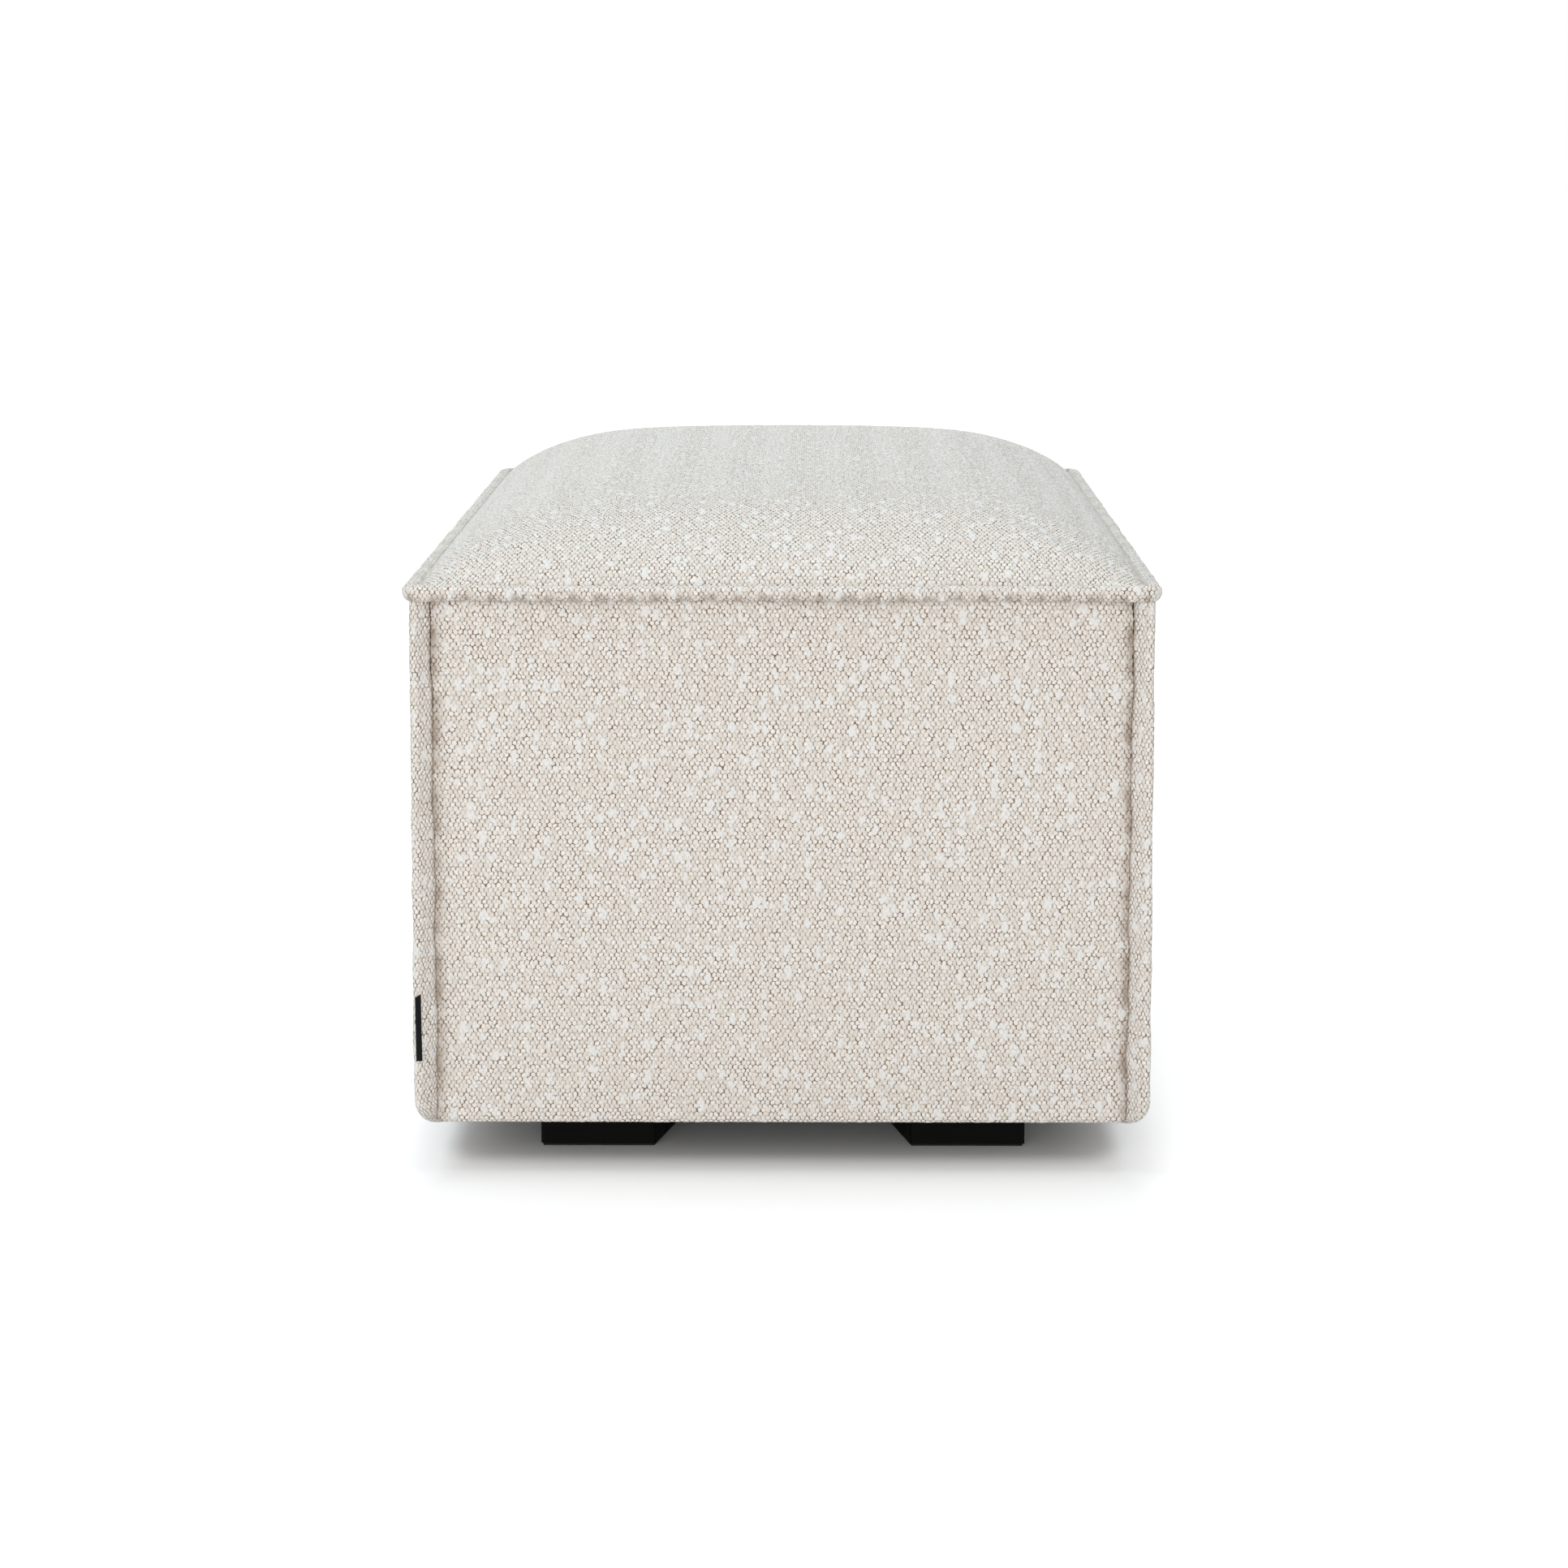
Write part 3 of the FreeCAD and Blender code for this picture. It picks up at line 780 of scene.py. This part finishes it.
def makeTopLip(name):
    side = sides[name]
    number, half, dist = side["number"], side["half"], side["dist"]
    over = body["lipTip"] - body["halfX"]
    tip = half + over
    bend = lip["topCorner"]
    end = tip - bend
    # the nose runs straight and then round half of each corner
    straight = np.linspace(-end, end, round(2 * end / lip["step"]))
    angle = np.linspace(0, math.pi / 4, lip["topCornerSteps"])[1:]
    past, back = bend * np.sin(angle), bend * (np.cos(angle) - 1)
    noseRun = np.concatenate([-end - past[::-1], straight, end + past])
    noseOut = np.concatenate([back[::-1], 0 * straight, back]) + dist + over
    rootHalf = half + lip["topRoot"]
    rootRun = np.clip(noseRun, -rootHalf, rootHalf)
    ends = np.abs(noseRun) > end
    rootRun[ends] = np.sign(noseRun[ends]) * rootHalf
    fade = np.clip((tip - bend / 2 - np.abs(noseRun)) / lip["topFade"], 0, 1)
    drop = ripple("lipLevel", noseRun, number) * lip["waver"]
    notch = ripple("lipNotch", noseRun, number) * lip["notch"] * fade
    noseOut = noseOut + ripple("lipNose", noseRun, number) * lip["waver"] * fade
    nose = side["along"] * noseRun[:, None] + side["out"] * noseOut[:, None]
    root = side["along"] * rootRun[:, None] + side["out"] * (dist + lip["topRoot"])
    length, away, points, weave = sweep(root, nose)
    for i in range(len(noseRun)):
        fat = lip["topFat"] * math.exp((abs(noseRun[i]) - tip) / lip["topFatRun"])
        profile = lipSection(lip["topRootHalf"], lip["topThick"] * (1 + fat), length[i])
        profile[:, 1] *= np.where(profile[:, 1] > 0, lip["topAbove"], lip["topBelow"])
        way, level = profile.T
        # the under side reaches back to the panel below it
        inner = np.clip(1 - way / (lip["topUnderRun"] * length[i]), 0, 1)
        low = (level < 0) * inner ** lip["topUnderPower"]
        under = np.clip(-2 * level / lip["topThick"], 0, 1)
        points[i] = root[i] + away[i] * (way - low * lip["topUnder"])[:, None]
        points[i, :, 2] = lip["topCentre"] + drop[i] * fade[i] + level + notch[i] * under
        weave[i, :, 0] = noseRun[i] + lip["weaveApart"] * number + lip["topWeave"]
        weave[i, :, 1] = runOver(profile)
    # painted shade: the under side is coloured darker, more strongly here and there
    under = np.clip(np.linspace(*lip["underShadeSpan"], lip["around"]), 0, 1)
    undersideShade = showing(("lipShadeWave",), noseRun, number, *lip["underShadeShow"])
    shade = np.maximum(rootShade(weave[..., 1]), undersideShade[:, None] * under)
    return gridPiece("top_lip_" + name, points, weave, shade)


def makeCornerLip(name, left, right):
    # left and right are the panels that meet here, seen from outside
    number = sides[left]["number"]
    total = panelProfile()[0][-1]
    stations = np.linspace(0, total, round(total / lip["step"]))
    run, _, height, _, _ = panelProfile(stations)
    leftEdge = panelPoints(left, stations, np.array([0.0, panelWidth(left)]))[0][:, 1]
    rightEdge = panelPoints(right, stations, np.array([0.0, panelWidth(right)]))[0][:, 0]
    middle = (leftEdge + rightEdge) / 2
    apart = leftEdge - rightEdge
    rootHalf = np.linalg.norm(apart, axis=1) / 2
    sideways = apart / np.maximum(2 * rootHalf, 1e-9)[:, None]
    # the nose: straight down at the tip, then round the hem and in along the mitre
    halfThick = lip["cornerThick"] / 2
    tip = (body["cornerTip"] - body["halfX"] - halfThick) / math.sqrt(0.5) + halfThick
    bend = lip["hemRound"]
    bendRun = math.pi / 2 * bend
    lowRun = np.interp(-(body["hem"] + bend), -height, run)
    bendShare = np.clip((run - lowRun) / bendRun, 0, 1)
    angle = bendShare * math.pi / 2
    tailShare = np.clip((run - lowRun - bendRun) / (total - lowRun - bendRun), 0, 1)
    tailEnd = -(body["halfX"] - body["returnEdge"]) * math.sqrt(2)
    noseWay = tip - bend * (1 - np.cos(angle)) + (tailEnd - (tip - bend)) * tailShare
    waver = ripple("cornerNose", run, number) * lip["waver"]
    down = (height[0] - height) / (height[0] - body["hem"])
    noseWay = noseWay + (waver + lip["cornerFlare"] * down) * (1 - bendShare)
    outward = np.sign(middle[:, :2])
    nose = np.zeros_like(middle)
    nose[:, :2] = outward * (body["halfX"], body["halfY"])
    nose[:, :2] += outward * (noseWay * math.sqrt(0.5))[:, None]
    nose[:, 2] = np.where(run < lowRun, height, body["hem"] + bend * (1 - np.sin(angle)))
    lean = ripple("cornerLean", run, number) * lip["waver"]
    length, away, points, weave = sweep(middle, nose)
    for i in range(len(run)):
        thick = lip["cornerThick"] * (1 - lip["cornerThin"] * tailShare[i])
        profile = lipSection(min(rootHalf[i], thick / 2), thick, length[i])
        way, half = profile[:, :1], profile[:, 1:]
        points[i] = middle[i] + away[i] * way + sideways[i] * (half + lean[i] * way / length[i])
        # the upper end goes up into the top lip
        points[i, :, 2] += lip["cornerUp"] * max(0, 1 - run[i] / lip["cornerUpRun"])
        weave[i, :, 0] = runOver(profile) + lip["cornerWeave"] + number
        weave[i, :, 1] = -run[i]
    # painted shade where the lip's roots meet the panels
    return gridPiece("corner_lip_" + name, points, weave, rootShade(weave[..., 0]), flip=True)


cornerPanels = {
    "front_left": ("left", "front"),
    "front_right": ("front", "right"),
    "rear_right": ("right", "rear"),
    "rear_left": ("rear", "left"),
}

top = makeTop()
panels = {name: makePanel(name) for name in sides}
panelCap = panel["swell"] * panel["swellLimit"]
fillOut(
    [(top, crown["pressure"], crown["swell"])]
    + [(piece, panel["pressure"], panelCap) for piece in panels.values()]
)
topLips = {name: makeTopLip(name) for name in sides}
cornerLips = {name: makeCornerLip(name, *pair) for name, pair in cornerPanels.items()}
for piece in [top] + list(panels.values()):
    clothSkin(piece, levels=2)
for piece in list(topLips.values()) + list(cornerLips.values()):
    clothSkin(piece, levels=0, share=lip["relief"])
print("cover sewn")

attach(top, "root")
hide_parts("top_cover", "top_wadding")
for name, piece in panels.items():
    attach(piece, "root")
    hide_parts("cover_" + name, "side_padding_" + name)
for name, piece in topLips.items():
    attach(piece, "root")
    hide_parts("top_flange_" + name)
for name, piece in cornerLips.items():
    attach(piece, "root")
    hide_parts("corner_flange_" + name)

# black painted feet
feet = {
    "colours": (rgb(0.003, 0.003, 0.0032), rgb(0.008, 0.0075, 0.007)),
    "grain": (18.0, 220.0, 220.0),
    "speck": 900.0,
    "relief": 0.00012,
    "endBand": 0.0025,
}


def footLook(board):
    place = board.place()
    grain = board.grain(place, feet["grain"], 4.0)
    speck = board.noise(place, feet["speck"])
    colour = board.colour(grain, *feet["colours"])
    rough = 0.42 + grain * 0.16 + speck * 0.06
    return varied(colour, rough, grain + speck * 0.25, feet["relief"])


def dress(names, material):
    for name in names:
        nodes[name].data.materials.clear()
        nodes[name].data.materials.append(material)


lacquer = newFinish("black_lacquer", footLook, shine=0.08)
dress(["foot_" + corner for corner in cornerPanels], lacquer)

# felt pads under the feet, soft at the edge
felt = {
    "bevel": 0.0004,
    "bevelSteps": 3,
    "colours": (rgb(0.012, 0.012, 0.012), rgb(0.04, 0.04, 0.041)),
    "fleck": (700.0,) * 3,
    "detail": 4.0,
    "rough": (0.9, 0.1),
    "relief": 0.0004,
}
feltFinish = newFinish("pressed_felt", flecked(felt), shine=0.1)


def footOutline(name, grow=0.0):
    # four corners of a foot or its pad in plan, counter-clockwise
    points = pointsOf(nodes[name].data)
    rows = []
    for end, way in ((points[:, 1].min(), -grow), (points[:, 1].max(), grow)):
        row = points[np.abs(points[:, 1] - end) < feet["endBand"], 0]
        rows.append([(row.min() - grow, end + way), (row.max() + grow, end + way)])
    return rows[0] + rows[1][::-1]


def makePad(corner):
    name = "foot_glide_" + corner
    low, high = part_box(name)
    points = [(x, y, z) for z in (low.z, high.z) for x, y in footOutline(name)]
    walls = [(i, (i + 1) % 4, 4 + (i + 1) % 4, 4 + i) for i in range(4)]
    piece = newPiece("felt_" + corner, points, [], [(3, 2, 1, 0), (4, 5, 6, 7)] + walls)
    piece.data.materials.append(feltFinish)
    modify(piece, "BEVEL", width=felt["bevel"], segments=felt["bevelSteps"])
    setDown(piece)
    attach(piece, "root")
    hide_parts(name)


for corner in cornerPanels:
    makePad(corner)
print("feet finished")

# black tape folded over the nose of the front left lip, left plain
tape = {
    "width": 0.0043,
    "thick": 0.0011,
    "widthRound": 0.5,
    "thickRound": 0.7,
    "centre": (-0.2570, -0.4564),
    "around": 18,
    "rows": 30,
    "turn": 10.0,
    "twist": 9.0,
    "twistRun": 2.6,
    "twistFrom": 0.6,
    "bow": 0.0006,
    "lean": 0.0004,
    "leanFrom": 0.4,
    "slant": 0.0022,
    "slantPower": 6,
    "colours": (rgb(0.004, 0.004, 0.0045), rgb(0.016, 0.016, 0.017)),
    "rib": 420.0,
    "thread": 1800.0,
    "relief": 0.00015,
}


def tapeLook(board):
    place = board.place()
    bands = {"Vector": place, "Scale": tape["rib"], "Distortion": 0.6}
    rib = board.add("ShaderNodeTexWave", bands, 1, bands_direction="Z")
    thread = board.noise(place, tape["thread"])
    colour = board.colour(rib * 0.5 + thread * 0.4, *tape["colours"])
    return varied(colour, 0.5 + thread * 0.25, rib + thread * 0.5, tape["relief"])


tapeFinish = newFinish("woven_tape", tapeLook, shine=0.1)


def closeUp(mesh):
    # merged, closed and facing outwards
    shape = bmesh.new()
    shape.from_mesh(mesh)
    bmesh.ops.remove_doubles(shape, verts=shape.verts, dist=1e-6)
    bmesh.ops.holes_fill(shape, edges=shape.edges)
    bmesh.ops.recalc_face_normals(shape, faces=shape.faces)
    shape.to_mesh(mesh)
    shape.free()


def makeTape():
    low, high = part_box("label_tab")
    turns = np.linspace(0, 2 * math.pi, tape["around"], endpoint=False)
    ring = np.arange(tape["around"] + 1) % tape["around"]
    cosine, sine = np.cos(turns)[ring], np.sin(turns)[ring]
    # flat oval section, turned a little more the higher it goes
    across = tape["width"] / 2 * np.sign(cosine) * np.abs(cosine) ** tape["widthRound"]
    depth = tape["thick"] / 2 * np.sign(sine) * np.abs(sine) ** tape["thickRound"]
    points = np.zeros((tape["rows"], len(ring), 3))
    for i, t in enumerate(np.linspace(0, 1, tape["rows"])):
        twist = tape["twist"] * math.sin(t * tape["twistRun"] - tape["twistFrom"])
        turn = math.radians(tape["turn"] + twist)
        x = tape["centre"][0] + across * math.cos(turn) + depth * math.sin(turn)
        y = tape["centre"][1] + across * math.sin(turn) - depth * math.cos(turn)
        slant = tape["slant"] * (across / tape["width"]) * t ** tape["slantPower"]
        points[i, :, 0] = x - tape["lean"] * (t - tape["leanFrom"])
        points[i, :, 1] = y - tape["bow"] * math.sin(t * math.pi)
        points[i, :, 2] = low.z + (high.z - low.z) * t + slant
    piece = gridPiece("label_tape", points, points[..., [0, 2]])
    closeUp(piece.data)
    piece.data.materials.append(tapeFinish)
    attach(piece, "root")
    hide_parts("label_tab")


makeTape()
print("label on")

# dust cover: thin black cloth stapled under the frame, cut away round the feet
dust = {
    "cell": 0.014,
    "thick": 0.0005,
    "drop": 0.0012,
    "sag": 0.0016,
    "sagRun": 0.08,
    "sagMean": 0.6,
    "sagSwing": 0.4,
    "wavesX": (19, 0.4),  # per metre, and where they start
    "wavesY": (23, 1.1),
    "clear": 0.002,
    "weld": 1e-5,
    "colours": (rgb(0.012, 0.012, 0.013), rgb(0.035, 0.035, 0.037)),
    "dimple": 620.0,
    "fibre": 260.0,
    "relief": 0.0003,
}


def dustLook(board):
    place = board.place()
    dimple = board.cells(place, dust["dimple"], loose=0.25)
    fibre = board.noise(place, dust["fibre"], 4.0)
    colour = board.colour(fibre * 0.6 + dimple * 0.4, *dust["colours"])
    return varied(colour, 0.75 + fibre * 0.2, dimple + fibre * 0.4, dust["relief"])


dustFinish = newFinish("spun_dust_cloth", dustLook, shine=0.2)


def edgesOf(loop):
    return zip(loop, loop[1:] + loop[:1])


def inside(point, loop):
    return all(
        (b[0] - a[0]) * (point.y - a[1]) - (b[1] - a[1]) * (point.x - a[0]) > 0
        for a, b in edgesOf(loop)
    )


def makeDustCover():
    low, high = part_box("dust_cover")
    width, length = high.x - low.x, high.y - low.y
    rim = [(low.x, low.y), (high.x, low.y), (high.x, high.y), (low.x, high.y)]
    holes = [footOutline("foot_" + corner, dust["clear"]) for corner in cornerPanels]
    points, edges = [], []
    for loop in [rim] + holes:
        first = len(points)
        points += [Vector(p) for p in loop]
        edges += [(first + i, first + (i + 1) % 4) for i in range(4)]
    xs = np.linspace(low.x, high.x, round(width / dust["cell"]) + 1)
    ys = np.linspace(low.y, high.y, round(length / dust["cell"]) + 1)
    points += [Vector((x, y)) for x in xs for y in ys]
    flat, _, faces, _, _, _ = geometry.delaunay_2d_cdt(points, edges, [], 0, dust["weld"])
    kept = []
    for face in faces:
        middle = sum((flat[i] for i in face), Vector((0, 0))) / len(face)
        if not any(inside(middle, hole) for hole in holes):
            kept.append(face[::-1])
    x, y = np.array([tuple(p) for p in flat]).T
    bay = np.clip(np.minimum(high.x - np.abs(x), high.y - np.abs(y)) / dust["sagRun"], 0, 1)
    (perX, startX), (perY, startY) = dust["wavesX"], dust["wavesY"]
    wave = np.sin(y * perY + startY) * np.sin(x * perX + startX)
    z = high.z - dust["drop"] - dust["sag"] * bay * (dust["sagMean"] + dust["sagSwing"] * wave)
    piece = newPiece("dust_cover_cloth", np.stack([x, y, z], -1).tolist(), [], kept)
    piece.data.materials.append(dustFinish)
    modify(piece, "SOLIDIFY", thickness=dust["thick"], offset=-1)
    setDown(piece)
    cut = sum(abs(sum(a[0] * b[1] - a[1] * b[0] for a, b in edgesOf(hole))) / 2 for hole in holes)
    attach(piece, "root")
    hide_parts("dust_cover")
    return high


dustHigh = makeDustCover()
print("dust cover on")


# small things in rows: a tree sets one shape along a path at an even pitch
def rowTree():
    inputs = {"Shape": "Object", "Pitch": "Float", "Material": "Material"}
    tree, board, given = newTree("set_in_a_row", inputs)
    path = board.add("GeometryNodeMeshToCurve", {"Mesh": given["Geometry"]})
    sockets = {"Curve": path, "Length": given["Pitch"]}
    marks = board.add("GeometryNodeResampleCurve", sockets, mode="LENGTH")
    shape = board.add("GeometryNodeObjectInfo", {"Object": given["Shape"]}, out=4)
    way = {"Vector": board.add("GeometryNodeInputTangent")}
    turn = board.add("FunctionNodeAlignRotationToVector", way, axis="X")
    sockets = {"Points": marks, "Instance": shape, "Rotation": turn}
    endTree(board, board.add("GeometryNodeInstanceOnPoints", sockets), given["Material"])
    return tree


inRows = rowTree()


# steel staples round the dust cover
staple = {
    "crown": 0.0100,
    "leg": 0.0016,
    "wire": 0.0009,
    "wireFaces": 6,
    "bend": 0.0004,
    "pitch": 0.045,
    "inset": 0.007,
    "fromCorner": 0.018,
    "colours": (rgb(0.42, 0.42, 0.43), rgb(0.62, 0.61, 0.6)),
    "fleck": (900.0, 90.0, 900.0),
    "detail": 3.0,
    "rough": (0.28, 0.25),
    "relief": 0.00005,
}
steelFinish = newFinish("plain_steel", flecked(staple), Metallic=1.0)
dress(["foot_screws"], steelFinish)


def barShape(name, points, radius, count):
    # a bent wire of a few faces, along points in the x z plane
    line = np.array(points)
    side = np.array([0.0, 1.0, 0.0])
    turns = (np.arange(count) * 2 * math.pi / count)[:, None]
    rings = []
    for i, p in enumerate(line):
        ahead = line[min(i + 1, len(line) - 1)] - line[max(i - 1, 0)]
        up = np.cross(ahead / np.linalg.norm(ahead), side)
        rings.append(p + radius * (np.cos(turns) * side + np.sin(turns) * up))
    faces = []
    for i in range(0, (len(line) - 1) * count, count):
        for j in range(count):
            k = (j + 1) % count
            faces.append((i + j, i + k, i + count + k, i + count + j))
    last = (len(line) - 1) * count
    faces += [tuple(range(count))[::-1], tuple(range(last, last + count))]
    piece = newPiece(name, np.concatenate(rings).tolist(), [], faces)
    closeUp(piece.data)
    return piece


def makeStaples():
    half, bend = staple["crown"] / 2, staple["bend"]
    arm = [(half - bend, 0, 0), (half, 0, bend), (half, 0, staple["leg"])]
    line = [(-x, y, z) for x, y, z in arm[::-1]] + arm
    wire = barShape("staple_shape", line, staple["wire"] / 2, staple["wireFaces"])
    z = dustHigh.z - dust["drop"] - dust["thick"]
    x, y = dustHigh.x - staple["inset"], dustHigh.y - staple["inset"]
    endX, endY = x - staple["fromCorner"], y - staple["fromCorner"]
    ends = [(-endX, -y, z), (endX, -y, z), (x, -endY, z), (x, endY, z)]
    ends += [(endX, y, z), (-endX, y, z), (-x, endY, z), (-x, -endY, z)]
    piece = newPiece("staples", ends, [(i, i + 1) for i in range(0, len(ends), 2)], [])
    useTree(piece, inRows, {"Shape": wire, "Pitch": staple["pitch"], "Material": steelFinish})
    setDown(piece)
    bpy.data.objects.remove(wire)
    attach(piece, "root")


makeStaples()
print("staples in")

# the carcass inside the cover
pine = {
    "colours": (rgb(0.62, 0.43, 0.24), rgb(0.44, 0.26, 0.12)),
    "ring": (60.0, 5.0, 60.0),
    "pore": (900.0, 60.0, 900.0),
    "relief": 0.0003,
}
hardboard = {
    "colours": (rgb(0.16, 0.09, 0.045), rgb(0.27, 0.17, 0.09)),
    "fleck": (320.0,) * 3,
    "detail": 5.0,
    "rough": (0.55, 0.25),
    "relief": 0.0002,
}
foam = {
    "colours": (rgb(0.80, 0.74, 0.55), rgb(0.62, 0.55, 0.37)),
    "pore": 900.0,
    "blotch": 20.0,
    "relief": 0.0006,
}
fleece = {
    "colours": (rgb(0.82, 0.81, 0.78), rgb(0.66, 0.65, 0.62)),
    "fleck": (240.0,) * 3,
    "detail": 5.0,
    "rough": (0.9, 0.1),
    "relief": 0.0009,
}
webbing = {
    "colours": (rgb(0.42, 0.34, 0.23), rgb(0.12, 0.11, 0.10)),
    "weft": 500.0,
    "stripe": (160.0, 160.0, 1.0),
    "stripeEdge": (0.45, 0.6),
    "relief": 0.0004,
}


def pineLook(board):
    ring = board.grain(board.place(), pine["ring"], 5.0)
    pore = board.grain(board.place(), pine["pore"], 2.0)
    colour = board.colour(ring * 0.75 + pore * 0.25, *pine["colours"])
    return varied(colour, 0.6 + pore * 0.2, ring + pore * 0.5, pine["relief"])


def foamLook(board):
    pore = board.cells(board.place(), foam["pore"])
    blotch = board.noise(board.place(), foam["blotch"], 3.0)
    colour = board.colour(pore * 0.7 + blotch * 0.3, *foam["colours"])
    return varied(colour, 0.9 + pore * 0.1, pore, foam["relief"])


def webLook(board):
    checks = {"Vector": board.place(), "Scale": webbing["weft"]}
    weft = board.add("ShaderNodeTexChecker", checks, out=1)
    stripe = board.grain(board.place(), webbing["stripe"], 1.0)
    colour = board.colour(board.step(stripe, *webbing["stripeEdge"]), *webbing["colours"])
    return varied(colour, 0.8 + weft * 0.15, weft + stripe, webbing["relief"])


wood = [n for n in nodes if n.split("_")[0] in ("bottom", "corner") and "flange" not in n]
wood += [n for n in nodes if n.startswith(("top_rail", "foot_board"))]
boards = [n for n in nodes if n.startswith("side_board")]
dress(wood, newFinish("sawn_pine", pineLook, shine=0.3))
dress(boards, newFinish("hardboard", flecked(hardboard)))
dress(["seat_foam"], newFinish("seat_foam", foamLook, shine=0.1))
dress(["fleece_sheet"], newFinish("white_fleece", flecked(fleece), shine=0.1))
dress([n for n in nodes if "webbing" in n], newFinish("jute_webbing", webLook))
print("carcass dressed")

# stage: pale floor, soft boxes, camera at the photo's angle
stage = {
    "span": 30.0,
    "floor": rgb(0.93, 0.93, 0.93),
    # painted shadow: where the floor's glow is held back round the block
    "coreX": 0.006,
    "coreY": 0.040,
    "softX": 0.012,
    "softY": 0.022,
    "coreRound": 2,
    "coreShare": 0.33,
    "haloX": (-0.005, 0.05),
    "haloXShare": 0.5,
    "haloY": (0.10, 0.45),
    "haloShare": 0.67,
    "glow": 0.6,
    "underGlow": 0.022,
    "world": 0.55,
    "lens": 94.08,
    "sensor": 36,
    "camera": (0.0215, -3.2858, 0.7576),
    "cameraTurn": (90 - 9.505, 0, 0.405),
}

# place, aim, size, power and tint of each soft box
lamps = {
    "overhead": ((-0.3, 0.2, 3.0), (0, 0, 0.3), (2.6, 2.6), 44.5, (0.80, 0.94, 1.0)),
    "front": ((-0.5, -3.8, 1.15), (0, 0, 0.25), (2.6, 1.6), 46.0, (1.0, 0.975, 0.945)),
}

span = stage["span"]
ground = [(-span, -span, 0), (span, -span, 0), (span, span, 0), (-span, span, 0)]
floor = newPiece("floor", ground, [], [(0, 1, 2, 3)])
floorMaterial = bpy.data.materials.new("pale_floor")
floorMaterial.use_nodes = True
board = Board(floorMaterial.node_tree)
place = board.vector("ABSOLUTE", board.place())
beyondX = board.axis(place, 0) - body["halfX"]
beyondY = board.axis(place, 1) - body["halfY"]
# painted shadow: the floor's camera-only glow is held back in a dark core under the block, then a
# faint wide halo
curve = stage["coreRound"]
sideX = board.larger((beyondX + stage["coreX"]) / stage["softX"] + curve, 0.0)
sideY = board.larger((beyondY + stage["coreY"]) / stage["softY"] + curve, 0.0)
core = board.step((sideX**2 + sideY**2) ** 0.5 - curve, -1.0, 1.0)
haloX = board.step(beyondX, *stage["haloX"]) * stage["haloXShare"]
halo = board.larger(haloX, board.step(beyondY, *stage["haloY"]))
seen = board.add("ShaderNodeLightPath")
paintedShadowGlow = (core * stage["coreShare"] + halo * stage["haloShare"]) * seen
shader = board.add("ShaderNodeBsdfDiffuse", {"Color": stage["floor"]})
for share, strength in ((paintedShadowGlow, stage["glow"]), (seen, stage["underGlow"])):
    light = {"Color": board.colour(share, black, white), "Strength": strength}
    glow = board.add("ShaderNodeEmission", light)
    shader = board.add("ShaderNodeAddShader", {0: shader, 1: glow})
board.add("ShaderNodeOutputMaterial", {"Surface": shader})
floor.data.materials.append(floorMaterial)

scene.world = bpy.data.worlds.new("studio")
scene.world.use_nodes = True
board = Board(scene.world.node_tree)
seen = board.add("ShaderNodeLightPath")
sky = board.add("ShaderNodeBackground", {"Color": white, "Strength": stage["world"]})
plain = board.add("ShaderNodeBackground", {"Color": white, "Strength": 1.0})
chosen = board.add("ShaderNodeMixShader", {0: seen, 1: sky, 2: plain})
board.add("ShaderNodeOutputWorld", {"Surface": chosen})

for name, (spot, aim, size, power, tint) in lamps.items():
    lamp = bpy.data.lights.new(name, "AREA")
    lamp.shape = "RECTANGLE"
    lamp.size, lamp.size_y = size
    lamp.energy = power
    lamp.color = tint
    holder = bpy.data.objects.new(name, lamp)
    holder.location = spot
    way = Vector(aim) - Vector(spot)
    holder.rotation_euler = way.to_track_quat("-Z", "Y").to_euler()
    holder.visible_camera = False
    scene.collection.objects.link(holder)

lens = bpy.data.cameras.new("camera")
lens.lens = stage["lens"]
lens.sensor_width = stage["sensor"]
camera = bpy.data.objects.new("camera", lens)
camera.location = stage["camera"]
camera.rotation_euler = [math.radians(angle) for angle in stage["cameraTurn"]]
scene.collection.objects.link(camera)
scene.camera = camera
scene.view_settings.view_transform = "Standard"
print("stage set")
